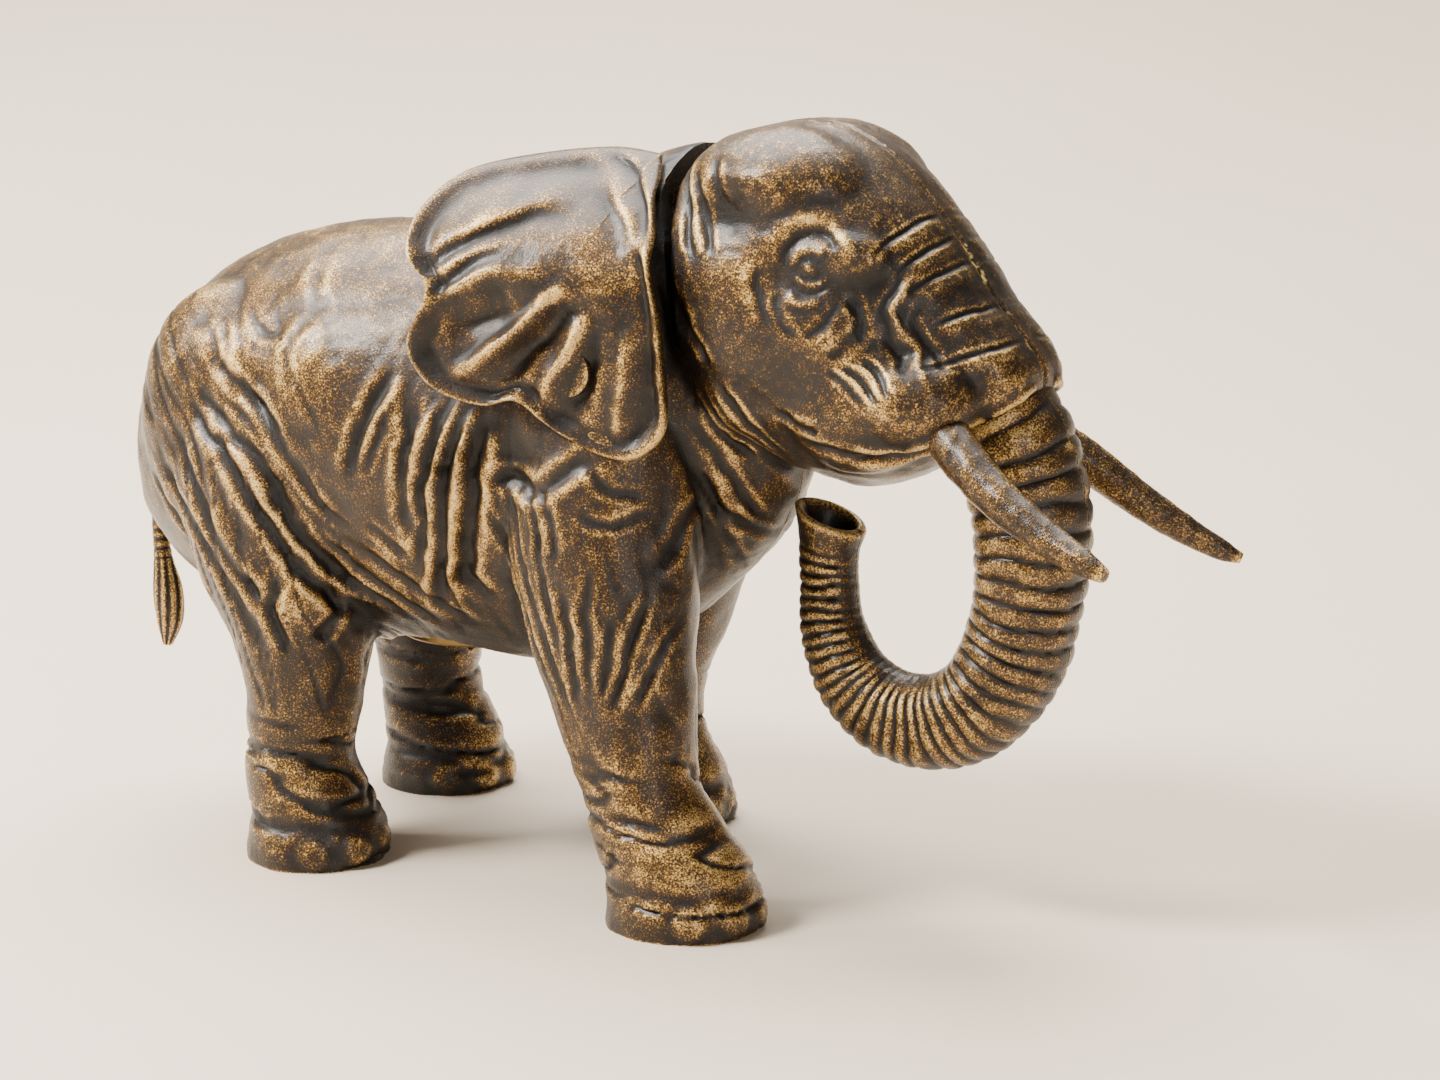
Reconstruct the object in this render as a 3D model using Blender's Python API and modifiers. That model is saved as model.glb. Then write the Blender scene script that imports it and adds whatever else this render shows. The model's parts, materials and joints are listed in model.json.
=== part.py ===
"""Figural coin bank: a standing elephant with raised trunk, cast in two hollow halves.

The halves meet on the median plane, Y = 0. The animal faces +X, its left side is +Y, and it stands on Z = 0.
Coins go in through a slot across the nape and come out through a screw plug in the belly.
Shapes are worked out in millimetres and scaled to metres as they are made.
"""

import math

import bmesh
import bpy
from mathutils import Matrix, Vector

MM = 0.001

# Driving dimensions, in millimetres.
GAP = 0.3
WALL = 4.5
STANCE = 27.9
LEG_SPLAY = 8.0
SPLAY_START_Z = 20.0
SPLAY_SPAN = 64.0
RING_POINTS = 24
INSERT_POINTS = 12
FORM_VOXEL = 2.2
FORM_TRIANGLES = 5400
FORM_SMOOTHING = 8
CORE_VOXEL = 3.0
CORE_TRIANGLES = 900
CORE_SMOOTHING = 4
CORE_SETBACK = 0.5
CORE_BODY_X = (-86.0, 50.0)
CORE_HEAD_X = 90.0
SIDE_REACH = 70.0

# Coin slot, across the nape.
SLOT_X = 40.0
SLOT_THICKNESS = 3.0
SLOT_WIDTH = 30.0
SLOT_FLOOR_Z = 108.0
SLOT_TOP_Z = 150.0

# Tie screws run along Y from the left side into bosses on the right half.
SCREW_PLACES = {"front": (8.0, 80.0), "rear": (-58.0, 80.0)}
SCREW_RADIUS = 2.0
SCREW_HEAD_RADIUS = 4.0
SCREW_HEAD_HEIGHT = 2.6
WASHER_RADIUS = 4.6
WASHER_HEIGHT = 0.8
COUNTERBORE_RADIUS = 5.0
COUNTERBORE_DEPTH = 5.5
BOSS_RADIUS = 7.2
SCREW_REACH = 8.0
DRIVER_SLOT = 1.0

# Belly trap, on a vertical axis.
TRAP_X = -12.0
TRAP_SEAT_Z = 46.5
TRAP_BORE = 13.5
TRAP_NECK = 15.3
TRAP_FLANGE = 18.4
TRAP_WALL_TOP = 50.5
TRAP_PAD_MARGIN = 4.0
TRAP_CUT_FOOT = 30.0
TRAP_CUT_TOP = 60.0
TRAP_ROOM_TOP = 58.0
TRAP_CLEARANCE = 0.4
PLUG_RADIUS = 13.1
PLUG_INSIDE = 11.6
PLUG_FLANGE = 16.5
COIN_GROOVE = 2.4

# Side view of the trunk of the body: X, top Z, bottom Z, half width.
BODY = (
    (-88.5, 80.0, 64.0, 5.0),
    (-86.0, 90.0, 56.0, 13.0),
    (-79.0, 102.0, 48.0, 22.5),
    (-66.0, 112.5, 43.0, 30.0),
    (-47.0, 119.5, 40.0, 34.5),
    (-27.0, 121.5, 38.0, 36.0),
    (-6.0, 119.5, 37.5, 35.5),
    (14.0, 121.5, 40.0, 33.0),
    (30.0, 128.5, 46.0, 28.0),
    (43.0, 126.0, 56.0, 23.0),
    (53.0, 110.0, 66.0, 16.0),
    (59.0, 95.0, 77.0, 7.0),
)

HEAD = (
    (33.0, 132.0, 100.0, 15.0),
    (42.0, 139.0, 90.0, 22.5),
    (52.0, 143.5, 84.0, 25.5),
    (64.0, 145.0, 81.0, 26.5),
    (75.0, 141.0, 80.0, 25.0),
    (84.5, 132.5, 82.0, 20.5),
    (92.5, 122.5, 87.0, 16.5),
    (98.0, 114.0, 93.0, 13.0),
    (103.5, 103.5, 98.0, 6.0),
)

# Centre line and half sizes of the trunk: X, Z, across, along the animal.
TRUNK = (
    (82.0, 113.0, 19.0, 15.0),
    (93.5, 101.5, 15.0, 12.5),
    (101.6, 90.0, 12.5, 11.2),
    (105.5, 77.0, 11.0, 10.8),
    (105.5, 64.0, 10.3, 10.2),
    (103.0, 52.0, 9.8, 9.8),
    (97.5, 42.3, 9.4, 9.4),
    (88.5, 36.6, 8.9, 8.9),
    (78.5, 36.8, 8.3, 8.3),
    (70.5, 42.0, 7.2, 7.3),
    (66.0, 50.5, 6.2, 6.2),
    (64.8, 60.0, 5.6, 5.5),
    (64.8, 67.0, 5.9, 5.7),
    (65.0, 72.0, 6.8, 6.5),
)

# Each leg from inside the body to below the ground: X, height, across, along. The ground cut leaves the sole.
LEGS = {
    "right_front": (
        (28.0, 84.0, 15.0, 20.0),
        (30.0, 66.0, 15.0, 18.5),
        (34.0, 48.0, 13.5, 15.5),
        (38.0, 33.0, 11.8, 12.6),
        (41.5, 22.0, 10.6, 10.9),
        (46.0, 13.0, 11.8, 12.4),
        (49.5, 6.0, 13.8, 14.4),
        (50.5, 1.5, 14.3, 14.8),
        (50.5, -2.5, 14.0, 14.4),
    ),
    "left_front": (
        (22.0, 84.0, 15.0, 20.0),
        (18.0, 66.0, 15.0, 17.5),
        (14.5, 47.0, 13.0, 14.0),
        (10.0, 31.0, 11.3, 11.5),
        (9.0, 21.0, 10.4, 10.6),
        (10.5, 12.0, 11.8, 12.4),
        (12.0, 5.5, 13.8, 14.3),
        (12.0, 1.5, 14.3, 14.8),
        (12.0, -2.5, 14.0, 14.4),
    ),
    "right_rear": (
        (-46.0, 80.0, 16.0, 25.0),
        (-42.0, 60.0, 15.5, 20.5),
        (-38.0, 45.0, 13.5, 15.0),
        (-36.5, 32.0, 11.6, 11.4),
        (-37.0, 20.0, 10.6, 10.4),
        (-35.0, 11.0, 12.0, 12.0),
        (-33.3, 5.0, 13.6, 13.8),
        (-33.0, 1.5, 13.9, 14.1),
        (-33.0, -2.5, 13.6, 13.8),
    ),
    "left_rear": (
        (-49.0, 80.0, 16.0, 25.0),
        (-47.0, 60.0, 15.5, 20.5),
        (-45.5, 45.0, 13.5, 15.0),
        (-44.5, 32.0, 11.6, 11.4),
        (-44.5, 20.0, 10.6, 10.4),
        (-42.5, 11.0, 12.0, 12.0),
        (-41.0, 5.0, 13.6, 13.8),
        (-40.8, 1.5, 13.9, 14.1),
        (-40.8, -2.5, 13.6, 13.8),
    ),
}

# Muscle and bone under the skin, right side: centre, then half sizes. The left side mirrors them.
BULGES = (
    ((24.0, -19.0, 84.0), (21.0, 14.5, 27.0)),
    ((-57.0, -17.5, 82.0), (22.0, 15.5, 28.0)),
    ((60.0, -9.5, 132.0), (19.0, 14.0, 12.5)),
    ((79.0, -14.5, 98.0), (15.0, 10.5, 14.0)),
    ((76.5, -17.0, 122.5), (9.0, 7.0, 6.0)),
    ((72.0, 0.0, 90.0), (16.0, 12.0, 11.0)),
    ((21.0, 0.0, 120.0), (23.0, 13.5, 15.0)),
    ((29.5, 0.0, 117.5), (8.5, 20.0, 21.5)),
)

# Tapered inserts: X, Y, Z, radius. The first two points are inside the castings.
TUSKS = {
    "right_tusk": (
        (86.0, -14.0, 99.0, 3.6),
        (92.0, -17.0, 96.0, 4.0),
        (98.0, -19.8, 92.5, 4.3),
        (110.0, -23.6, 84.5, 3.7),
        (122.0, -27.0, 78.6, 2.8),
        (129.0, -29.0, 76.0, 1.8),
        (132.3, -29.8, 74.8, 0.7),
    ),
    "left_tusk": (
        (86.0, 14.0, 97.0, 3.6),
        (92.0, 17.0, 93.5, 4.0),
        (98.0, 19.0, 89.0, 4.2),
        (108.0, 21.3, 82.3, 3.8),
        (117.0, 24.0, 75.8, 3.3),
        (125.5, 26.6, 70.5, 2.6),
        (130.5, 28.4, 67.8, 1.8),
        (133.4, 29.4, 66.5, 0.7),
    ),
}
TAIL = (
    (-80.0, 0.0, 73.0, 2.0),
    (-86.0, 0.0, 70.5, 2.1),
    (-91.5, 0.0, 64.5, 1.7),
    (-93.2, 0.0, 56.0, 1.5),
    (-92.6, 0.0, 47.5, 1.9),
    (-91.6, 0.0, 40.0, 3.0),
    (-91.4, 0.0, 34.0, 2.7),
    (-92.2, 0.0, 28.5, 0.9),
)

# Outline of an ear in side view, clockwise from the top of its front edge: X, Z.
EAR_OUTLINE = (
    (34.5, 137.0),
    (41.0, 132.5),
    (45.5, 123.0),
    (47.5, 109.0),
    (48.0, 98.5),
    (47.5, 90.5),
    (42.5, 86.0),
    (36.5, 86.0),
    (27.5, 90.0),
    (20.0, 95.0),
    (13.0, 94.0),
    (3.5, 97.0),
    (-1.0, 104.0),
    (3.0, 114.0),
    (-2.0, 121.0),
    (-3.0, 127.0),
    (-0.5, 133.0),
    (4.5, 136.0),
    (16.0, 137.8),
    (26.0, 137.8),
)
EAR_MIDDLE = (28.0, 117.0)
EAR_FRONT_X = 49.0
EAR_SPAN = 52.0
EAR_ROOT_Y = 28.0
EAR_FLARE = 11.0
EAR_LEAN = 25.0
EAR_LEAN_Z = 116.0
EAR_LEAN_SPAN = 24.0
EAR_THICKNESS = 3.2
EAR_BOSS_RADIUS = 4.6
EAR_BOSS_END = 30.5
EAR_RIVETS = {"upper": (29.0, 114.0), "lower": (29.0, 101.0)}
RIVET_RADIUS = 1.4
RIVET_HEAD_RADIUS = 2.8
RIVET_HEAD_HEIGHT = 1.2

# The blind bore in the trunk's open tip.
TRUNK_BORE_X = 65.0
TRUNK_BORE_Z = (64.0, 80.0)
TRUNK_BORE_RADIUS = 4.2

DOWELS = {"trunk": (104.5, 70.0), "rump": (-80.0, 84.0)}
DOWEL_RADIUS = 1.5
DOWEL_LENGTH = 10.0
DOWEL_BOSS = 6.0


def clear_scene():
    for obj in list(bpy.data.objects):
        bpy.data.objects.remove(obj)
    for name in ("elephant_coin_bank", "cutters"):
        collection = bpy.data.collections.new(name)
        bpy.context.scene.collection.children.link(collection)


def material(name, colour, metallic, roughness):
    made = bpy.data.materials.new(name)
    made.use_nodes = True
    shader = made.node_tree.nodes["Principled BSDF"]
    shader.inputs["Base Color"].default_value = (*colour, 1.0)
    shader.inputs["Metallic"].default_value = metallic
    shader.inputs["Roughness"].default_value = roughness
    return made


def add_object(name, bm, collection="elephant_coin_bank"):
    """Turns a bmesh in millimetres into an object in metres."""
    bmesh.ops.scale(bm, vec=(MM, MM, MM), verts=bm.verts)
    bmesh.ops.recalc_face_normals(bm, faces=bm.faces)
    mesh = bpy.data.meshes.new(name)
    bm.to_mesh(mesh)
    bm.free()
    obj = bpy.data.objects.new(name, mesh)
    bpy.data.collections[collection].objects.link(obj)
    if collection == "cutters":
        obj.hide_render = True
        obj.display_type = "WIRE"
    return obj


def catmull_rom(keys, steps):
    """Rows of numbers that pass smoothly through the keys, with steps rows between two keys."""
    rows = []
    last = len(keys) - 1
    for i in range(last):
        a = keys[max(i - 1, 0)]
        b = keys[i]
        c = keys[i + 1]
        d = keys[min(i + 2, last)]
        for k in range(steps):
            t = k / steps
            rows.append(
                tuple(
                    0.5 * (2 * q + (r - p) * t + (2 * p - 5 * q + 4 * r - s) * t**2 + (3 * (q - r) + s - p) * t**3)
                    for p, q, r, s in zip(a, b, c, d)
                )
            )
    rows.append(tuple(keys[-1]))
    return rows


def loft(sections, count=RING_POINTS):
    """A bmesh through elliptical sections, each given as centre, side axis, up axis, half width and half height."""
    bm = bmesh.new()
    rings = []
    for centre, side, up, half_width, half_height in sections:
        ring = []
        for k in range(count):
            angle = 2 * math.pi * k / count
            place = centre + side * half_width * math.cos(angle) + up * half_height * math.sin(angle)
            ring.append(bm.verts.new(place))
        rings.append(ring)
    for one, two in zip(rings, rings[1:]):
        for k in range(count):
            j = (k + 1) % count
            bm.faces.new((one[k], one[j], two[j], two[k]))
    bm.faces.new(rings[0])
    bm.faces.new(list(reversed(rings[-1])))
    return bm


def upright_sections(keys, inset=0.0):
    """Sections square to X from rows of X, top Z, bottom Z and half width."""
    rows = []
    for x, top, bottom, half_width in catmull_rom(keys, 4):
        half_height = (top - bottom) / 2 - inset
        across = half_width - inset
        if min(half_height, across) > 0.5:
            centre = Vector((x, 0.0, (top + bottom) / 2))
            rows.append((centre, Vector((0, 1, 0)), Vector((0, 0, 1)), across, half_height))
    return rows


def path_sections(points):
    """Sections square to a path, from rows of centre, half size across and half size along."""
    rows = []
    last = len(points) - 1
    for i, (centre, across, along) in enumerate(points):
        tangent = (points[min(i + 1, last)][0] - points[max(i - 1, 0)][0]).normalized()
        side = Vector((0, 1, 0))
        side = (side - tangent * side.dot(tangent)).normalized()
        rows.append((centre, side, tangent.cross(side), across, along))
    return rows


def trunk_points(inset=0.0):
    return [
        (Vector((x, 0.0, z)), across - inset, along - inset)
        for x, z, across, along in catmull_rom(TRUNK, 4)
    ]


def leg_points(name):
    side = -1 if name.startswith("right") else 1
    points = []
    for x, z, across, along in catmull_rom(LEGS[name], 4):
        splay = STANCE - LEG_SPLAY * max(0.0, (z - SPLAY_START_Z) / SPLAY_SPAN)
        points.append((Vector((x, side * splay, z)), across, along))
    return points


def insert_points(keys, extra=0.0):
    """Points of a round tapered insert, grown by extra all round and past its buried end."""
    points = [(Vector(row[:3]), row[3] + extra, row[3] + extra) for row in catmull_rom(keys, 2)]
    if extra:
        back = (points[0][0] - points[1][0]).normalized() * extra
        points[0] = (points[0][0] + back, points[0][1], points[0][2])
    return points


def bulge(centre, radii):
    bm = bmesh.new()
    bmesh.ops.create_uvsphere(bm, u_segments=24, v_segments=16, radius=1.0)
    bmesh.ops.transform(bm, matrix=Matrix.LocRotScale(Vector(centre), None, Vector(radii)), verts=bm.verts)
    return bm


def joined(meshes):
    """One bmesh that holds all of these."""
    whole = bmesh.new()
    for bm in meshes:
        mesh = bpy.data.meshes.new("scrap")
        bm.to_mesh(mesh)
        bm.free()
        whole.from_mesh(mesh)
        bpy.data.meshes.remove(mesh)
    return whole


def apply_modifiers(obj):
    """Gives the object the mesh that its modifiers make, and removes them."""
    graph = bpy.context.evaluated_depsgraph_get()
    mesh = bpy.data.meshes.new_from_object(obj.evaluated_get(graph), depsgraph=graph)
    old = obj.data
    obj.modifiers.clear()
    obj.data = mesh
    bpy.data.meshes.remove(old)


def fuse(obj, voxel, rounds, triangles):
    """Welds crossing shapes into one smooth skin of about so many triangles."""
    remesh = obj.modifiers.new("weld", "REMESH")
    remesh.mode = "VOXEL"
    remesh.voxel_size = voxel * MM
    smooth = obj.modifiers.new("blend", "SMOOTH")
    smooth.factor = 0.5
    smooth.iterations = rounds
    apply_modifiers(obj)
    count = sum(len(face.vertices) - 2 for face in obj.data.polygons)
    reduce = obj.modifiers.new("reduce", "DECIMATE")
    reduce.ratio = min(1.0, triangles / count)
    apply_modifiers(obj)


def boolean(obj, cutter, operation="DIFFERENCE"):
    modifier = obj.modifiers.new(operation.lower(), "BOOLEAN")
    modifier.object = cutter
    modifier.operation = operation
    modifier.solver = "EXACT"


def cylinder(name, axis, start, end, place, radius, segments=32, collection="cutters"):
    """A cylinder from start to end along axis Y or Z. place is the pair of its other two coordinates."""
    bm = bmesh.new()
    length = end - start
    bmesh.ops.create_cone(
        bm, cap_ends=True, segments=segments, radius1=radius, radius2=radius, depth=length
    )
    middle = (start + end) / 2
    if axis == "Y":
        turn = Matrix.Rotation(math.pi / 2, 4, "X")
        centre = Vector((place[0], middle, place[1]))
    else:
        turn = Matrix.Identity(4)
        centre = Vector((place[0], place[1], middle))
    bmesh.ops.transform(bm, matrix=Matrix.Translation(centre) @ turn, verts=bm.verts)
    return add_object(name, bm, collection)


def block(name, low, high, collection="cutters"):
    bm = bmesh.new()
    bmesh.ops.create_cube(bm, size=1.0)
    size = Vector([abs(b - a) for a, b in zip(low, high)])
    centre = (Vector(high) + Vector(low)) / 2
    bmesh.ops.transform(bm, matrix=Matrix.LocRotScale(centre, None, size), verts=bm.verts)
    return add_object(name, bm, collection)


def turned(name, profile, place, axis="Z", segments=32, ring=False):
    """A turned piece from radius and height, down its outer side. A ring's profile closes on itself."""
    bm = bmesh.new()
    corners = [bm.verts.new((radius, 0.0, height)) for radius, height in profile]
    pairs = list(zip(corners, corners[1:]))
    if ring:
        pairs.append((corners[-1], corners[0]))
    for one, two in pairs:
        bm.edges.new((one, two))
    bmesh.ops.scale(bm, vec=(MM, MM, MM), verts=bm.verts)
    mesh = bpy.data.meshes.new(name)
    bm.to_mesh(mesh)
    bm.free()
    obj = bpy.data.objects.new(name, mesh)
    bpy.data.collections["elephant_coin_bank"].objects.link(obj)
    screw = obj.modifiers.new("turn", "SCREW")
    screw.steps = segments
    screw.render_steps = segments
    screw.use_merge_vertices = True
    screw.merge_threshold = 0.00001
    obj.location = Vector(place) * MM
    if axis == "Y":
        obj.rotation_euler = (-math.pi / 2, 0.0, 0.0)
    return obj


def make_form():
    """The outside of the whole animal, without ears, tusks or tail."""
    shapes = [loft(upright_sections(BODY)), loft(upright_sections(HEAD)), loft(path_sections(trunk_points()))]
    shapes += [loft(path_sections(leg_points(name))) for name in LEGS]
    for (x, y, z), radii in BULGES:
        shapes.append(bulge((x, y, z), radii))
        if y:
            shapes.append(bulge((x, -y, z), radii))
    form = add_object("form", joined(shapes), "cutters")
    fuse(form, FORM_VOXEL, FORM_SMOOTHING, FORM_TRIANGLES)
    return form


def make_core():
    """The hollow inside the body and head, with the bosses left standing in it."""
    body = [row for row in BODY if CORE_BODY_X[0] < row[0] < CORE_BODY_X[1]]
    head = [row for row in HEAD if row[0] < CORE_HEAD_X]
    inset = WALL + CORE_SETBACK
    shapes = [loft(upright_sections(body, inset)), loft(upright_sections(head, inset))]
    core = add_object("core", joined(shapes), "cutters")
    fuse(core, CORE_VOXEL, CORE_SMOOTHING, CORE_TRIANGLES)
    pad_radius = TRAP_FLANGE + TRAP_PAD_MARGIN
    boolean(core, cylinder("trap_pad", "Z", TRAP_CUT_FOOT, TRAP_WALL_TOP, (TRAP_X, 0.0), pad_radius, 48))
    floor_z = TRAP_WALL_TOP - 1.0
    floor = block("core_floor", (-100.0, -SIDE_REACH, 0.0), (120.0, SIDE_REACH, floor_z))
    boolean(core, floor)
    for name, place in SCREW_PLACES.items():
        boolean(core, cylinder(f"{name}_boss", "Y", -SIDE_REACH, SIDE_REACH, place, BOSS_RADIUS))
    boolean(core, cylinder("rump_boss", "Y", -DOWEL_BOSS, DOWEL_BOSS, DOWELS["rump"], DOWEL_BOSS))
    return core


def make_shared_cutters(form):
    """Cutters that both halves need."""
    cutters = [
        block("below_ground", (-120.0, -80.0, -20.0), (160.0, 80.0, 0.0)),
        block(
            "slot",
            (SLOT_X - SLOT_THICKNESS / 2, -SLOT_WIDTH / 2, SLOT_FLOOR_Z),
            (SLOT_X + SLOT_THICKNESS / 2, SLOT_WIDTH / 2, SLOT_TOP_Z),
        ),
        cylinder("trap_recess", "Z", TRAP_CUT_FOOT, TRAP_SEAT_Z, (TRAP_X, 0.0), TRAP_FLANGE + 0.5, 48),
        cylinder("trap_hole", "Z", TRAP_CUT_FOOT, TRAP_CUT_TOP, (TRAP_X, 0.0), TRAP_NECK + GAP, 48),
        cylinder("trap_room", "Z", TRAP_WALL_TOP, TRAP_ROOM_TOP, (TRAP_X, 0.0), TRAP_FLANGE - 0.4, 48),
        cylinder("trunk_bore", "Z", *TRUNK_BORE_Z, (TRUNK_BORE_X, 0.0), TRUNK_BORE_RADIUS, 24),
    ]
    for name, keys in {**TUSKS, "tail": TAIL}.items():
        socket = loft(path_sections(insert_points(keys, GAP)), INSERT_POINTS)
        cutters.append(add_object(f"{name}_socket", socket, "cutters"))
    for name, place in DOWELS.items():
        reach = DOWEL_LENGTH / 2 + GAP
        cutters.append(cylinder(f"{name}_dowel_hole", "Y", -reach, reach, place, DOWEL_RADIUS + GAP, 16))
    return cutters


def make_half(name, form, core, cutters, side):
    half = bpy.data.objects.new(name, form.data.copy())
    bpy.data.collections["elephant_coin_bank"].objects.link(half)
    other = block(f"not_{name}", (-130.0, side * GAP / 2, -30.0), (170.0, -side * 90.0, 180.0))
    boolean(half, core)
    boolean(half, other)
    for cutter in cutters:
        boolean(half, cutter)
    return half


def make_insert(name, keys, finish):
    """A tusk or the tail."""
    obj = add_object(name, loft(path_sections(insert_points(keys)), INSERT_POINTS))
    obj.data.materials.append(finish)


def distance_out(skin, side, x, z):
    """How far the skin is from the median plane at this X and Z, in millimetres."""
    start = Vector((x, side * 90.0, z)) * MM
    hit, place, _, _ = skin.ray_cast(start, Vector((0.0, -side, 0.0)))
    return abs(place.y) / MM if hit else 0.0


def ear_distance(x, z):
    """Distance of the middle of an ear's thickness from the median plane."""
    back = max(0.0, (EAR_FRONT_X - x) / EAR_SPAN)
    lean = max(0.0, (z - EAR_LEAN_Z) / EAR_LEAN_SPAN)
    return EAR_ROOT_Y + EAR_FLARE * back**0.9 - EAR_LEAN * lean**1.8


def ear_sheet(side):
    """The middle surface of an ear: rings of its outline, shrunk towards its middle."""
    bm = bmesh.new()
    outline = catmull_rom((*EAR_OUTLINE, EAR_OUTLINE[0]), 2)[:-1]
    mid_x, mid_z = EAR_MIDDLE
    inner = bm.verts.new((mid_x, side * ear_distance(mid_x, mid_z), mid_z))
    rings = []
    for share in (0.3, 0.55, 0.8, 1.0):
        ring = []
        for x, z in outline:
            at_x = mid_x + (x - mid_x) * share
            at_z = mid_z + (z - mid_z) * share
            ring.append(bm.verts.new((at_x, side * ear_distance(at_x, at_z), at_z)))
        rings.append(ring)
    count = len(outline)
    for k in range(count):
        j = (k + 1) % count
        bm.faces.new((inner, rings[0][k], rings[0][j]))
        for one, two in zip(rings, rings[1:]):
            bm.faces.new((one[k], two[k], two[j], one[j]))
    return bm


def make_ear(name, side, clear_of_form):
    ear = add_object(name, ear_sheet(side))
    solidify = ear.modifiers.new("thickness", "SOLIDIFY")
    solidify.thickness = EAR_THICKNESS * MM
    solidify.offset = 0.0
    for which, (x, z) in EAR_RIVETS.items():
        ends = sorted((side * 10.0, side * (ear_distance(x, z) - EAR_THICKNESS / 4)))
        boss = cylinder(f"{name}_{which}_boss", "Y", *ends, (x, z), EAR_BOSS_RADIUS, 20)
        boolean(ear, boss, "UNION")
    boolean(ear, clear_of_form)
    return ear


def make_ear_rivet(name, side, place, core):
    """A rivet from inside the shell into the ear, and the seat and hole that it needs."""
    x, z = place
    seat = distance_out(core, side, x, z) + 1.0
    end = ear_distance(x, z) - EAR_THICKNESS / 2
    top = seat - GAP
    profile = (
        (0.0, end),
        (RIVET_RADIUS, end),
        (RIVET_RADIUS, top),
        (RIVET_HEAD_RADIUS, top),
        (RIVET_HEAD_RADIUS, top - RIVET_HEAD_HEIGHT),
        (0.0, top - RIVET_HEAD_HEIGHT),
    )
    rivet = turned(name, profile, (x, 0.0, z), "Y", 16)
    if side < 0:
        rivet.rotation_euler = (math.pi / 2, 0.0, 0.0)
    hole_ends = sorted((side * 4.0, side * (end + GAP)))
    seat_ends = sorted((side * 4.0, side * seat))
    hole = cylinder(f"{name}_hole", "Y", *hole_ends, place, RIVET_RADIUS + GAP, 16)
    spot = cylinder(f"{name}_seat", "Y", *seat_ends, place, RIVET_HEAD_RADIUS + 2 * GAP, 20)
    return rivet, hole, spot


def make_tie_screw(name, place, form, steel):
    """A screw and washer on the left side, and the cutters that they need in each half."""
    x, z = place
    seat = distance_out(form, 1, x, z) - COUNTERBORE_DEPTH
    under = seat + WASHER_HEIGHT + 2 * GAP
    top = under + SCREW_HEAD_HEIGHT
    profile = (
        (0.0, top),
        (SCREW_HEAD_RADIUS - 0.6, top),
        (SCREW_HEAD_RADIUS, top - 0.8),
        (SCREW_HEAD_RADIUS, under),
        (SCREW_RADIUS, under),
        (SCREW_RADIUS, 0.6 - SCREW_REACH),
        (SCREW_RADIUS - 0.6, -SCREW_REACH),
        (0.0, -SCREW_REACH),
    )
    screw = turned(f"{name}_tie_screw", profile, (x, 0.0, z), "Y", 24)
    slot = block(
        f"{name}_driver_slot",
        (x - 6.0, top - 1.2, z - DRIVER_SLOT / 2),
        (x + 6.0, top + 5.0, z + DRIVER_SLOT / 2),
    )
    boolean(screw, slot)
    inside = SCREW_RADIUS + GAP
    low = seat + GAP
    high = low + WASHER_HEIGHT
    ring = ((WASHER_RADIUS, high), (WASHER_RADIUS, low), (inside, low), (inside, high))
    washer = turned(f"{name}_screw_washer", ring, (x, 0.0, z), "Y", 24, ring=True)
    for obj in (screw, washer):
        obj.data.materials.append(steel)
    hole = cylinder(f"{name}_screw_hole", "Y", -SCREW_REACH - 1.0, SIDE_REACH, place, inside, 24)
    bore = cylinder(f"{name}_counterbore", "Y", seat, SIDE_REACH, place, COUNTERBORE_RADIUS, 32)
    return hole, bore


def make_trap(brass, fibre):
    """The threaded ring that the halves clamp, the screw plug and the washer under its flange."""
    gap = TRAP_CLEARANCE
    ring_top = TRAP_WALL_TOP + gap + 1.2
    ring_foot = TRAP_SEAT_Z - gap - 1.4
    ring = (
        (TRAP_FLANGE - 1.0, ring_top),
        (TRAP_FLANGE - 1.0, TRAP_WALL_TOP + gap),
        (TRAP_NECK, TRAP_WALL_TOP + gap),
        (TRAP_NECK, TRAP_SEAT_Z - gap),
        (TRAP_FLANGE, TRAP_SEAT_Z - gap),
        (TRAP_FLANGE, ring_foot),
        (TRAP_BORE, ring_foot),
        (TRAP_BORE, ring_top),
    )
    place = (TRAP_X, 0.0, 0.0)
    turned("trap_ring", ring, place, segments=48, ring=True).data.materials.append(brass)
    washer_top = ring_foot - gap
    washer_foot = washer_top - 0.7
    inside = PLUG_RADIUS + GAP
    flat = (
        (PLUG_FLANGE - 0.3, washer_top),
        (PLUG_FLANGE - 0.3, washer_foot),
        (inside, washer_foot),
        (inside, washer_top),
    )
    turned("trap_washer", flat, place, segments=48, ring=True).data.materials.append(fibre)
    flange_top = washer_foot - GAP
    flange_foot = flange_top - 1.5
    cup = (
        (0.0, flange_top + 0.5),
        (PLUG_INSIDE, flange_top + 0.5),
        (PLUG_INSIDE, TRAP_WALL_TOP),
        (PLUG_RADIUS, TRAP_WALL_TOP),
        (PLUG_RADIUS, flange_top),
        (PLUG_FLANGE, flange_top),
        (PLUG_FLANGE, flange_foot + 0.4),
        (PLUG_FLANGE - 0.4, flange_foot),
        (0.0, flange_foot),
    )
    plug = turned("trap_plug", cup, place, segments=48)
    plug.data.materials.append(brass)
    groove = block(
        "coin_groove",
        (TRAP_X - 11.0, -COIN_GROOVE / 2, flange_foot - 3.0),
        (TRAP_X + 11.0, COIN_GROOVE / 2, flange_foot + 1.0),
    )
    boolean(plug, groove)


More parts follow.
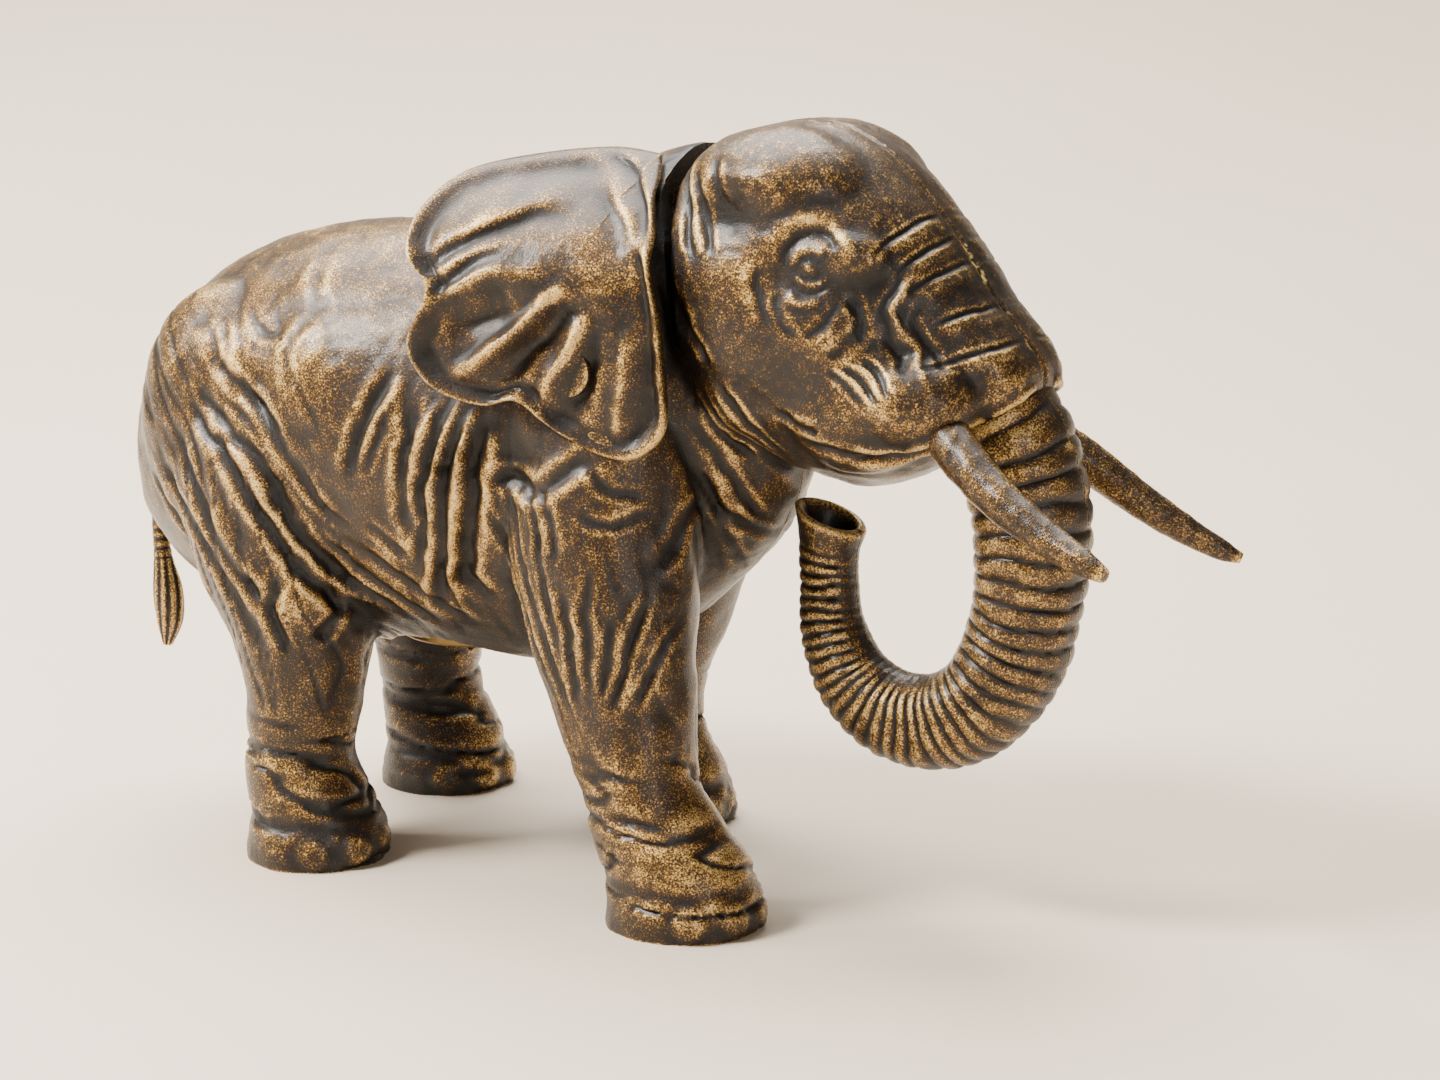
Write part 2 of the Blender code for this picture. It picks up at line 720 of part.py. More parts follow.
def centre_on_origin():
    """Hangs everything on an empty that puts the middle of the animal's box over the origin."""
    bpy.context.view_layer.update()
    graph = bpy.context.evaluated_depsgraph_get()
    corners = []
    for obj in bpy.data.collections["elephant_coin_bank"].objects:
        evaluated = obj.evaluated_get(graph)
        corners += [evaluated.matrix_world @ Vector(corner) for corner in evaluated.bound_box]
    xs = [corner.x for corner in corners]
    ys = [corner.y for corner in corners]
    frame = bpy.data.objects.new("frame", None)
    bpy.data.collections["elephant_coin_bank"].objects.link(frame)
    for obj in bpy.data.objects:
        if obj is not frame:
            obj.parent = frame
    middle_x = round((min(xs) + max(xs)) / 2, 4)
    middle_y = round((min(ys) + max(ys)) / 2, 4)
    frame.location = (-middle_x, -middle_y, 0.0)


clear_scene()
bronze = material("antique_bronze_paint", (0.23, 0.15, 0.08), 0.7, 0.4)
steel = material("zinc_steel", (0.55, 0.55, 0.56), 1.0, 0.35)
brass = material("brass", (0.62, 0.46, 0.2), 1.0, 0.35)
fibre = material("red_fibre", (0.32, 0.1, 0.07), 0.0, 0.8)
form = make_form()
core = make_core()
shared = make_shared_cutters(form)
bpy.context.view_layer.update()
clear_of_form = add_object("clear_of_form", joined([]), "cutters")
clear_of_form.data = form.data.copy()
grow = clear_of_form.modifiers.new("grow", "DISPLACE")
grow.strength = GAP * MM
grow.mid_level = 0.0
own = {-1: [], 1: []}
ears = {}
for name, side in (("right", -1), ("left", 1)):
    ears[side] = make_ear(f"{name}_ear", side, clear_of_form)
    ears[side].data.materials.append(bronze)
    for which, place in EAR_RIVETS.items():
        rivet, hole, spot = make_ear_rivet(f"{name}_ear_{which}_rivet", side, place, core)
        rivet.data.materials.append(steel)
        boolean(ears[side], hole)
        own[side] += [hole, spot]
for name, place in SCREW_PLACES.items():
    hole, bore = make_tie_screw(name, place, form, steel)
    shared.append(hole)
    own[1].append(bore)
for name, side in (("right_casting", -1), ("left_casting", 1)):
    half = make_half(name, form, core, shared + own[side], side)
    half.data.materials.append(bronze)
for name, keys in {**TUSKS, "tail": TAIL}.items():
    make_insert(name, keys, bronze)
for name, place in DOWELS.items():
    ends = (-DOWEL_LENGTH / 2, DOWEL_LENGTH / 2)
    pin = cylinder(f"{name}_dowel", "Y", *ends, place, DOWEL_RADIUS, 16, "elephant_coin_bank")
    pin.data.materials.append(steel)
make_trap(brass, fibre)
centre_on_origin()
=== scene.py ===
# The fine visual model of the elephant coin bank, on the frame of its CAD pieces. Sizes are in millimetres
# on the design's axes; SHIFT takes them to the frame's.

import json
import math
from itertools import product

import bmesh
import bpy
import numpy as np
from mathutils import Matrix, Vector
from mathutils.bvhtree import BVHTree


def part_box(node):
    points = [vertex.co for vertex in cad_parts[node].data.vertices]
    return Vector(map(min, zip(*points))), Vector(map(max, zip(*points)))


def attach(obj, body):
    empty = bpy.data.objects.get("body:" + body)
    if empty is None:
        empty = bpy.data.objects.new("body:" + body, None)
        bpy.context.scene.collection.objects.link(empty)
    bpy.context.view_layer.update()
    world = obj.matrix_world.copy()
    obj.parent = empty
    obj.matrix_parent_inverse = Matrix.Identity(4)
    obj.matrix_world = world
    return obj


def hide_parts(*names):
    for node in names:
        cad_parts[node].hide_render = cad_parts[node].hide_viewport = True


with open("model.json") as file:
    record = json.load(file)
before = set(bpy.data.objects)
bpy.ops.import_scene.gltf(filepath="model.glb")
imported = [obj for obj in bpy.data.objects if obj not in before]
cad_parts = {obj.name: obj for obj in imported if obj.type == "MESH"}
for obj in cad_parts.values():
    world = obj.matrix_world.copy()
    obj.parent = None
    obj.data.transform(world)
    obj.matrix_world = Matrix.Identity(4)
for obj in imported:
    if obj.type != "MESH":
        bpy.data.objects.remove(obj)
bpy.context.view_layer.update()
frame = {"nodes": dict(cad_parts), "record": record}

MM = 0.001
SHIFT = np.array((-19.5, 0.0, 0.0))
VOXEL = 0.8
HALF_GAP = 0.15  # from the median plane to each half
VIEW_TURN = math.radians(30.2)

# Side view of the barrel and of the head: X, top Z, bottom Z, half width.
BODY = (
    (-88.5, 80, 64, 5), (-86, 90, 56, 13), (-79, 102, 48, 22.5), (-66, 112.5, 43, 30),
    (-47, 119.5, 40, 34.5), (-27, 121.5, 38, 36), (-6, 119.5, 37.5, 35.5), (14, 121.5, 40, 33),
    (30, 128.5, 46, 28), (43, 126, 56, 23), (53, 110, 66, 16), (59, 95, 77, 7),
)
HEAD = (
    (33, 132, 100, 15), (42, 139, 90, 22.5), (52, 143.5, 84, 25.5), (64, 145, 81, 26.5),
    (75, 141, 80, 25), (84.5, 132.5, 82, 20.5), (92.5, 122.5, 87, 16.5), (98, 115, 91.5, 14.8),
    (104, 108.5, 95.5, 12.6), (107.6, 103.6, 98.3, 8.6),
)
# Centre line and half sizes of the trunk: X, Z, across, along the animal.
TRUNK = (
    (82, 113, 15, 12), (92, 101.5, 11, 10), (98, 95, 10.8, 10.4), (102, 88.5, 11.6, 11),
    (105.5, 77, 11, 10.8), (105.5, 64, 10.3, 10.2), (103, 52, 9.8, 9.8), (97.5, 42.3, 9.4, 9.4),
    (88.5, 36.6, 8.9, 8.9), (78.5, 36.8, 8.3, 8.3), (70.5, 42, 7.2, 7.3), (66, 50.5, 6.2, 6.2),
    (64.8, 60, 5.6, 5.5), (64.8, 67, 5.8, 5.6), (65, 72, 6.9, 6.6),
)
# Each leg: X, height, across, along.
LEGS = {
    "right_front": (
        (25, 98, 5, 7), (26, 93, 12, 14), (28, 84, 14.5, 18.5), (30, 66, 15, 18.5),
        (34, 48, 13.5, 15.5), (38, 33, 11.8, 12.6), (41.5, 22, 10.6, 10.9), (46, 13, 11.8, 12.4),
        (49.5, 6, 13.8, 14.4), (50.5, 1.5, 14.3, 14.8), (50.5, -2.5, 14, 14.4),
    ),
    "left_front": (
        (22, 98, 5, 7), (22, 93, 12, 14), (22, 84, 14.5, 18.5), (18, 66, 15, 17.5), (14.5, 47, 13, 14),
        (10, 31, 11.3, 11.5), (9, 21, 10.4, 10.6), (10.5, 12, 11.8, 12.4), (12, 5.5, 13.8, 14.3),
        (12, 1.5, 14.3, 14.8), (12, -2.5, 14, 14.4),
    ),
    "right_rear": (
        (-48, 92, 6, 9), (-47, 88, 12, 18), (-46, 80, 15.5, 24), (-42, 60, 15.5, 20.5),
        (-38, 45, 13.5, 15), (-36.5, 32, 11.6, 11.4), (-37, 20, 10.6, 10.4), (-35, 11, 12, 12),
        (-33.3, 5, 13.6, 13.8), (-33, 1.5, 13.9, 14.1), (-33, -2.5, 13.6, 13.8),
    ),
}
# The left rear leg has the right one's sections, further back.
PLACES = (-50, -49.5, -49, -47, -45.5, -44.5, -44.5, -42.5, -41, -40.8, -40.8)
LEGS["left_rear"] = [(x, *row[1:]) for x, row in zip(PLACES, LEGS["right_rear"])]
# Muscle and bone under the skin, right side: centre, then half sizes.
BULGES = (
    ((24, -19, 84), (21, 14.5, 27)), ((-57, -17.5, 82), (22, 15.5, 28)),
    ((60, -9.5, 132), (19, 14, 12.5)), ((79, -14.5, 98), (15, 10.5, 14)),
    ((76.5, -17, 122.5), (9, 7, 6)), ((72, 0, 90), (16, 12, 11)), ((21, 0, 120), (23, 13.5, 15)),
    ((90, -14.5, 98), (11.5, 10.5, 9)), ((51, -8.5, 116), (9.5, 16.5, 21)),
    ((56.5, -14, 101), (12, 10, 12.5)), ((37.5, -12, 110), (7, 15.5, 20)),
)
# The nape's collar behind the slot: X, top Z, bottom Z, half width.
COLLAR = (
    (12, 124, 90, 12), (21, 133, 90, 18), (29, 137.5, 90, 21.5), (35, 139.3, 90, 22.5),
    (39.6, 140, 92, 23),
)
# The slit that goes on from the slot down between the ear and the head: Z, X, width.
SLIT = (
    (141, 39.9, 2.7), (133, 40.3, 2.7), (127, 42, 2.3), (121, 43.7, 1.8), (112, 45.3, 1.4),
    (105, 45.8, 0.9),
)
TUSKS = {
    "right_tusk": (
        (88, -10, 98, 3.4), (93, -13.5, 95.5, 3.9), (99, -18.6, 91.8, 4.3), (110, -23.6, 84.5, 3.8),
        (122, -27, 78.6, 3), (129, -29, 76, 2.3), (132.6, -29.9, 74.7, 1.5),
    ),
    "left_tusk": (
        (87, 10, 97, 3.4), (92, 13.5, 93.5, 3.9), (98, 17.6, 89.2, 4.2), (108, 21.3, 82.3, 3.8),
        (117, 24, 75.8, 3.3), (125.5, 26.6, 70.5, 2.6), (130.5, 28.4, 67.8, 2),
        (133.4, 29.4, 66.5, 1.2),
    ),
}
TAIL = (
    (-80, 0, 73, 2), (-86, 0, 70.5, 2.1), (-91.5, 0, 64.5, 1.7), (-93.2, 0, 56, 1.5),
    (-92.6, 0, 47.5, 1.9), (-91.6, 0, 40, 3), (-91.4, 0, 34, 2.7), (-92.2, 0, 28.5, 0.9),
)
EAR_OUTLINE = (
    (35.5, 138.3), (38.6, 134), (41.6, 128.5), (44.2, 122), (46.4, 111), (47.4, 99.5), (47.4, 91),
    (42.5, 86), (36.5, 86), (27.5, 90), (20, 95), (13, 94), (3.5, 97), (-1, 104), (2.6, 113),
    (2.4, 116.5), (-1.8, 121), (-3, 127), (-0.5, 133), (4.5, 136), (16, 138.3), (27, 139.2),
)
EAR_DEPTH = 0.95  # how far its folds stand out, as a share
EAR_HALF_THICKNESS = 1.55
EAR_BOSSES = ((29, 114), (29, 101))
TRUNK_STEP = 0.36
# |Y| of the feet, and how the legs come closer together higher up.
STANCE = 27.9
SPLAY = 8.0
SPLAY_START_Z = 20.0
SPLAY_SPAN = 64.0
SLOT_X = (38.6, 41.4)
TRAP_X = -12
# X and Z of what joins the halves.
SCREW_PLACES = {"front": (8, 80), "rear": (-58, 80)}
DOWELS = {"trunk": (104.5, 70), "rump": (-80, 84)}
# Where the gold is rubbed more, or less, and where highlight and shade are painted in (lighter on the hips,
# knee and cheeks, darker under the jaw, on the chest and under the belly): X, Z, reach in each, amount.
RUBBED_GOLD_AND_PAINTED_LIGHT = (
    (79, 106, 7, 5, 0.45), (86, 99, 6, 5, 0.4), (59, 121, 6, 8, 0.35), (70, 129.5, 6, 2, 0.3),
    (63, 95, 10, 3, 0.25), (98, 94.5, 6, 2.5, 0.4), (73, 119, 4, 6, -0.3), (84, 117, 4, 6, -0.5),
    (95, 113, 6, 8, -0.3), (56, 130, 5, 5, -0.4), (57, 88, 11, 8, -0.2), (48, 102, 4, 12, -0.3),
    (-50, 98, 7, 6, 0.4), (-31, 98, 8, 7, 0.4), (-5, 100, 9, 10, -0.15), (14, 88, 12, 6, -0.35),
    (47, 76, 5, 14, -0.3), (54, 72, 7, 12, -0.15), (-15, 47, 30, 6, -0.3), (-30, 51, 5, 5, 0.4),
    (-23, 10, 4, 4, -0.6), (-30, 4, 12, 4, 0.15), (52, 12, 10, 8, 0.25),
)


# ---- Curves, lofts and meshes ----


def columns(*values):
    return np.stack(values, axis=1)


def spline(rows, steps):
    """A Catmull-Rom curve through the rows, with this many steps between one row and the next."""
    rows = np.array(rows, float)
    ends = np.vstack((2 * rows[0] - rows[1], rows, 2 * rows[-1] - rows[-2]))
    out = []
    for a, b, c, d in zip(ends, ends[1:], ends[2:], ends[3:]):
        for t in np.arange(steps) / steps:
            line = 2 * b + (c - a) * t + (2 * a - 5 * b + 4 * c - d) * t * t
            out.append(0.5 * (line + (3 * b - a - 3 * c + d) * t**3))
    out.append(rows[-1])
    return np.array(out)


def even(points, spacing):
    """The same curve with points at equal distances."""
    along = np.r_[0.0, np.cumsum(np.linalg.norm(np.diff(points[:, :3], axis=0), axis=1))]
    count = max(2, int(round(along[-1] / spacing)) + 1)
    at = np.linspace(0.0, along[-1], count)
    return np.stack([np.interp(at, along, points[:, k]) for k in range(points.shape[1])], axis=1)


def around(count):
    """The angles of this many points round a circle."""
    return np.linspace(0.0, 2 * math.pi, count, endpoint=False)


def side_of(name):
    """-1 for a piece of the right side, 1 for one of the left."""
    return -1 if name.startswith("right") else 1


def upright_rings(keys, count, inset=0.0, power=None):
    """Upright sections through rows of X, top, bottom and half width, squarer where power(x) is above 2."""
    turn = around(count)
    rings = []
    for x, top, bottom, half in spline(keys, 6):
        height, width = (top - bottom) / 2 - inset, half - inset
        if min(height, width) < 0.5:
            continue
        p = 2.0 / (power(x) if power else 2.0)
        c, s = np.cos(turn), np.sin(turn)
        y = width * np.sign(c) * np.abs(c) ** p
        z = (top + bottom) / 2 + height * np.sign(s) * np.abs(s) ** p
        rings.append(columns(np.full(count, x), y, z))
    return np.array(rings)


def nearest(points, line):
    """Square distance from each point to the line's closest point, and how far along the line that is."""
    best = np.full(len(points), 1e9)
    where = np.zeros(len(points))
    for k, point in enumerate(line):
        d = ((points - point) ** 2).sum(1)
        closer = d < best
        best[closer] = d[closer]
        where[closer] = k / max(1, len(line) - 1)
    return best, where


def path_frames(points):
    """Unit side and upward vectors square to a path."""
    tangent = np.gradient(points, axis=0)
    tangent /= np.linalg.norm(tangent, axis=1, keepdims=True)
    side = np.array((0.0, 1.0, 0.0)) - tangent * tangent[:, 1:2]
    side /= np.linalg.norm(side, axis=1, keepdims=True)
    return tangent, side, np.cross(tangent, side)


def spokes(side, up, turn):
    """Unit vectors out from each point of a path, at these angles."""
    return side[:, None] * np.cos(turn)[None, :, None] + up[:, None] * np.sin(turn)[None, :, None]


def path_rings(centres, across, along, count):
    _, side, up = path_frames(centres)
    turn = around(count)[None, :, None]
    return (
        centres[:, None]
        + side[:, None] * np.cos(turn) * across[:, None, None]
        + up[:, None] * np.sin(turn) * along[:, None, None]
    )


def leg_distance(z):
    """|Y| of a leg's axis at this height."""
    return STANCE - SPLAY * np.maximum(0.0, (z - SPLAY_START_Z) / SPLAY_SPAN)


def leg_rings(name, count):
    rows = spline(LEGS[name], 6)
    y = side_of(name) * leg_distance(rows[:, 1])
    centres = columns(rows[:, 0], y, rows[:, 1])
    return path_rings(centres, rows[:, 2], rows[:, 3], count)


def round_rings(keys, steps, spacing, count, extra=0.0):
    """Even rows of X, Y, Z and radius, and the circles round them, grown by extra."""
    rows = even(spline(keys, steps), spacing)
    radius = rows[:, 3] + extra
    return rows, path_rings(rows[:, :3], radius, radius, count)


def leg_axis(name, z):
    """X of the leg's axis at these heights."""
    rows = spline(LEGS[name], 6)[::-1]
    return np.interp(z, rows[:, 1], rows[:, 0])


def tube(rings):
    """Points and faces of a closed loft through equal rings, with a fan at each end."""
    m, n = rings.shape[:2]
    points = np.vstack((rings.reshape(-1, 3), rings[0].mean(0), rings[-1].mean(0)))
    faces = []
    for i in range(m - 1):
        for k in range(n):
            j = (k + 1) % n
            faces.append((i * n + k, i * n + j, (i + 1) * n + j, (i + 1) * n + k))
    for k in range(n):
        j = (k + 1) % n
        faces.append((m * n, j, k))
        faces.append((m * n + 1, (m - 1) * n + k, (m - 1) * n + j))
    return points, faces


def ball(centre, radii, count=32):
    """An ellipsoid; its rings run from just above one pole to just below the other."""
    c, s = np.cos(around(count)), np.sin(around(count))
    rings = []
    for lift in np.linspace(-1.5, 1.5, 20):
        ring = columns(c * math.cos(lift), s * math.cos(lift), np.full(count, math.sin(lift)))
        rings.append(np.array(centre) + ring * np.array(radii))
    return tube(np.array(rings))


def linked(name, data):
    """A new object of the scene with this data."""
    obj = bpy.data.objects.new(name, data)
    bpy.context.scene.collection.objects.link(obj)
    return obj


def mesh_object(name, points, faces):
    mesh = bpy.data.meshes.new(name)
    mesh.from_pydata(np.asarray(points).tolist(), [], faces)
    mesh.validate()
    bm = bmesh.new()
    bm.from_mesh(mesh)
    bmesh.ops.recalc_face_normals(bm, faces=bm.faces)
    bm.to_mesh(mesh)
    bm.free()
    return linked(name, mesh)


def joined(name, shapes):
    points, faces, base = [], [], 0
    for pts, fcs in shapes:
        points.append(pts)
        faces += [tuple(i + base for i in f) for f in fcs]
        base += len(pts)
    return mesh_object(name, np.vstack(points), faces)


def applied(obj):
    """Gives the object the mesh that its modifiers make."""
    graph = bpy.context.evaluated_depsgraph_get()
    mesh = bpy.data.meshes.new_from_object(obj.evaluated_get(graph))
    obj.modifiers.clear()
    old, obj.data = obj.data, mesh
    bpy.data.meshes.remove(old)
    return obj


def remeshed(obj, voxel):
    modifier = obj.modifiers.new("remesh", "REMESH")
    modifier.mode = "VOXEL"
    modifier.voxel_size = voxel
    return applied(obj)


def boolean(obj, tool, operation="DIFFERENCE", keep=False):
    modifier = obj.modifiers.new("cut", "BOOLEAN")
    modifier.operation = operation
    modifier.solver = "MANIFOLD"
    modifier.object = tool
    applied(obj)
    if not keep:
        bpy.data.objects.remove(tool)
    return obj


def block(name, low, high):
    x, y, z = zip(low, high)
    points = [(a, b, c) for a in x for b in y for c in z]
    faces = [(0, 1, 3, 2), (4, 6, 7, 5), (0, 4, 5, 1), (2, 3, 7, 6), (0, 2, 6, 4), (1, 5, 7, 3)]
    return mesh_object(name, points, faces)


def rod(name, start, end, radius, count=48):
    start, end = np.array(start, float), np.array(end, float)
    way = (end - start) / np.linalg.norm(end - start)
    side = np.cross(way, (0.0, 0.0, 1.0) if abs(way[2]) < 0.9 else (1.0, 0.0, 0.0))
    side /= np.linalg.norm(side)
    up = np.cross(way, side)
    turn = around(count)[:, None]
    ring = (np.cos(turn) * side + np.sin(turn) * up) * radius
    return mesh_object(name, *tube(np.array((start + ring, end + ring))))


def read(items, key, kind, width):
    """One property of all the items, as an array with a row for each."""
    values = np.empty(len(items) * width, kind)
    items.foreach_get(key, values)
    return values.reshape(-1, width)


def upright_rod(name, top, radius, count=96, bottom=30):
    """A rod on the axis of the coin trap."""
    return rod(name, (TRAP_X, 0, bottom), (TRAP_X, 0, top), radius, count)


def points_of(mesh):
    return read(mesh.vertices, "co", np.float32, 3).astype(float)


def normals_of(mesh):
    return read(mesh.vertex_normals, "vector", np.float32, 3).astype(float)


def set_points(mesh, p):
    mesh.vertices.foreach_set("co", np.ascontiguousarray(p, np.float32).ravel())
    mesh.update()


def edges_of(mesh):
    return read(mesh.edges, "vertices", np.int32, 2)


def smoothed(values, edges, times):
    """The values, each drawn towards the mean of its neighbours."""
    count = len(values)
    a, b = edges[:, 0], edges[:, 1]
    degree = np.maximum(np.bincount(a, minlength=count) + np.bincount(b, minlength=count), 1)
    v = values.reshape(count, -1).copy()
    for _ in range(times):
        for k in range(v.shape[1]):
            mean = np.bincount(a, v[b, k], count) + np.bincount(b, v[a, k], count)
            v[:, k] += 0.5 * (mean / degree - v[:, k])
    return v.reshape(values.shape)


# ---- Noise ----


def scramble(i, j, k, seed):
    h = (i * 374761393 + j * 668265263 + k * 2147483647 + seed * 1274126177) & 0xFFFFFFFF
    h = ((h ^ (h >> 13)) * 1274126177) & 0xFFFFFFFF
    h = ((h ^ (h >> 16)) * 2246822519) & 0xFFFFFFFF
    return ((h ^ (h >> 15)) & 0xFFFF) / 65535.0


def noise(q, seed=0):
    """Smooth noise from -1 to 1 at these points, with a cell of 1."""
    cell = np.floor(q).astype(np.int64)
    f = q - cell
    f = f * f * f * (f * (f * 6 - 15) + 10)
    i, j, k = cell.T
    shares = (1 - f, f)
    total = 0.0
    for di, dj, dk in product((0, 1), repeat=3):
        share = shares[di][:, 0] * shares[dj][:, 1] * shares[dk][:, 2]
        total = total + share * scramble(i + di, j + dj, k + dk, seed)
    return total * 2 - 1


def fractal(q, seed, octaves=3):
    total, weight, size = 0.0, 1.0, 0.0
    for octave in range(octaves):
        total = total + weight * noise(q * 2**octave, seed + octave)
        size += weight
        weight *= 0.5
    return total / size


def creases(q, seed, width=0.13):
    """Thin valleys where noise crosses zero, -0.85 deep, and round folds up to 0.4 between them."""
    bent = q + 0.35 * np.stack((noise(q * 0.7, seed + 7),) * 3, axis=1)
    n = noise(bent, seed) + 0.35 * noise(q * 2.1, seed + 3)
    line = bell(n / width)
    return 0.4 * np.minimum(1.0, np.abs(n) / 0.35) - 1.25 * line


def bell(t):
    return np.exp(-(t**2))


def inside(v, low, high, soft):
    """1 between low and high, falling to 0 over soft on each side."""
    return smoothstep((v - low) / soft + 0.5) * smoothstep((high - v) / soft + 0.5)


def smoothstep(t):
    t = np.clip(t, 0.0, 1.0)
    return t * t * (3 - 2 * t)


# ---- The skin: body, head and legs ----


def head_power(x):
    """How square the head's sections are."""
    return 2.0 + 0.7 * min(1.0, max(0.0, (x - 70.0) / 25.0))


def make_form():
    shapes = [tube(upright_rings(BODY, 64)), tube(upright_rings(HEAD, 64, power=head_power))]
    shapes += [tube(leg_rings(name, 48)) for name in LEGS] + [tube(upright_rings(COLLAR, 64))]
    for (x, y, z), radii in BULGES:
        shapes.append(ball((x, y, z), radii))
        if y:
            shapes.append(ball((x, -y, z), radii))
    form = remeshed(joined("form", shapes), VOXEL)
    set_points(form.data, smoothed(points_of(form.data), edges_of(form.data), 14))
    return form


class Skin:
    """The form's surface, to lay strokes on."""

    def __init__(self, mesh):
        self.mesh = mesh
        self.read()

    def read(self):
        self.p = points_of(self.mesh)
        self.n = normals_of(self.mesh)
        self.lift = np.zeros(len(self.p))
        faces = [tuple(f.vertices) for f in self.mesh.polygons]
        self.tree = BVHTree.FromPolygons(self.p.tolist(), faces)

    def seen(self, x, z, side):
        """Where a line from this side meets the surface."""
        return self.tree.ray_cast(Vector((x, side * 90.0, z)), Vector((0.0, -side, 0.0)))[0]

    def laid(self, route, side):
        """The route of X and Z, seen from the side, laid on the surface."""
        out = []
        for x, z in even(np.array(route, float) if len(route) < 3 else spline(route, 6), 0.4):
            hit = self.seen(x, z, side)
            if hit is None or hit[1] * side < 0:
                hit = self.tree.find_nearest(Vector((x, side * 2.0, z)))[0]
            out.append(hit)
        return even(np.array(out), 0.35)

    def stroke(self, route, width, depth, lips=0.3, sides=(-1, 1), fade=0.25):
        """A groove, or a ridge where depth is negative, that fades out at its ends."""
        for side in sides:
            line = self.laid(route, side)
            low, high = line.min(0) - 4 * width - 1, line.max(0) + 4 * width + 1
            near = np.nonzero(((self.p > low) & (self.p < high)).all(1))[0]
            if not len(near):
                continue
            at = self.p[near]
            wander = np.stack([noise(at / 3.2, 101 + k) for k in range(3)], axis=1)
            at = at + 0.45 * min(1.0, width) * wander
            best, where = nearest(at, line)
            u = np.sqrt(best) / width
            ends = smoothstep(np.minimum(where, 1 - where) / fade + 0.15)
            ends = ends * (1.0 + 0.3 * noise(at / 5.0, 107))
            shape = -np.exp(-u * u) + lips * bell((u - 1.9) / 0.8)
            self.lift[near] += depth * ends * shape

    def pad(self, x, z, reach_x, reach_z, height, tilt=0.0):
        """A soft rise, or a hollow where height is negative, on both sides of the animal."""
        c, s = math.cos(tilt), math.sin(tilt)
        dx, dz = self.p[:, 0] - x, self.p[:, 2] - z
        u, v = (dx * c + dz * s) / reach_x, (dz * c - dx * s) / reach_z
        for side in (-1, 1):
            facing = smoothstep(self.n[:, 1] * side * 2.0)
            self.lift += height * np.exp(-(u * u + v * v)) * facing

    def settle(self):
        """Moves the points along their normals by the lift gathered so far."""
        self.p = self.p + self.n * self.lift[:, None]
        set_points(self.mesh, self.p)
        self.read()


def split_fine(mesh, test):
    """Halves the size of the faces whose points all pass the test."""
    bm = bmesh.new()
    bm.from_mesh(mesh)
    chosen = test(points_of(mesh))
    bm.verts.ensure_lookup_table()
    edges = [e for e in bm.edges if chosen[e.verts[0].index] and chosen[e.verts[1].index]]
    bmesh.ops.subdivide_edges(bm, edges=edges, cuts=1, use_grid_fill=True)
    bmesh.ops.triangulate(bm, faces=[f for f in bm.faces if len(f.verts) > 4])
    bm.to_mesh(mesh)
    bm.free()


def large_forms(skin):
    """Hips, knees, shoulder, temples, cheeks and brow: X, Z, reach in each, height and tilt."""
    for row in (
        (-50, 98, 8, 7, 1.5), (-31, 98, 8, 7, 1.3), (-41, 91, 5, 9, -0.9), (-34, 112, 9, 5, 0.7),
        (-30, 51, 4.5, 5, 1.6), (-22, 60, 9, 12, -1.2), (-2, 96, 8, 12, -1.2), (30, 60, 9, 18, 0.8),
        (17, 84, 4, 6, -1.2), (46, 76, 5, 12, -1.5), (56, 130, 5.5, 6, -1.7, 0.5), (63, 136, 7, 4, 0.8),
        (66, 119, 4, 5, -1.2), (73, 121, 6.5, 6, -1.4), (83, 119, 4, 6, -1),
        (79, 107, 8, 4, 0.9, -0.5), (75, 94, 7, 4, 0.8), (88, 98, 5, 5, 1), (58, 105, 8, 9, 0.8),
        (62, 93, 9, 3, 0.6),
    ):
        skin.pad(*row)
    skin.settle()


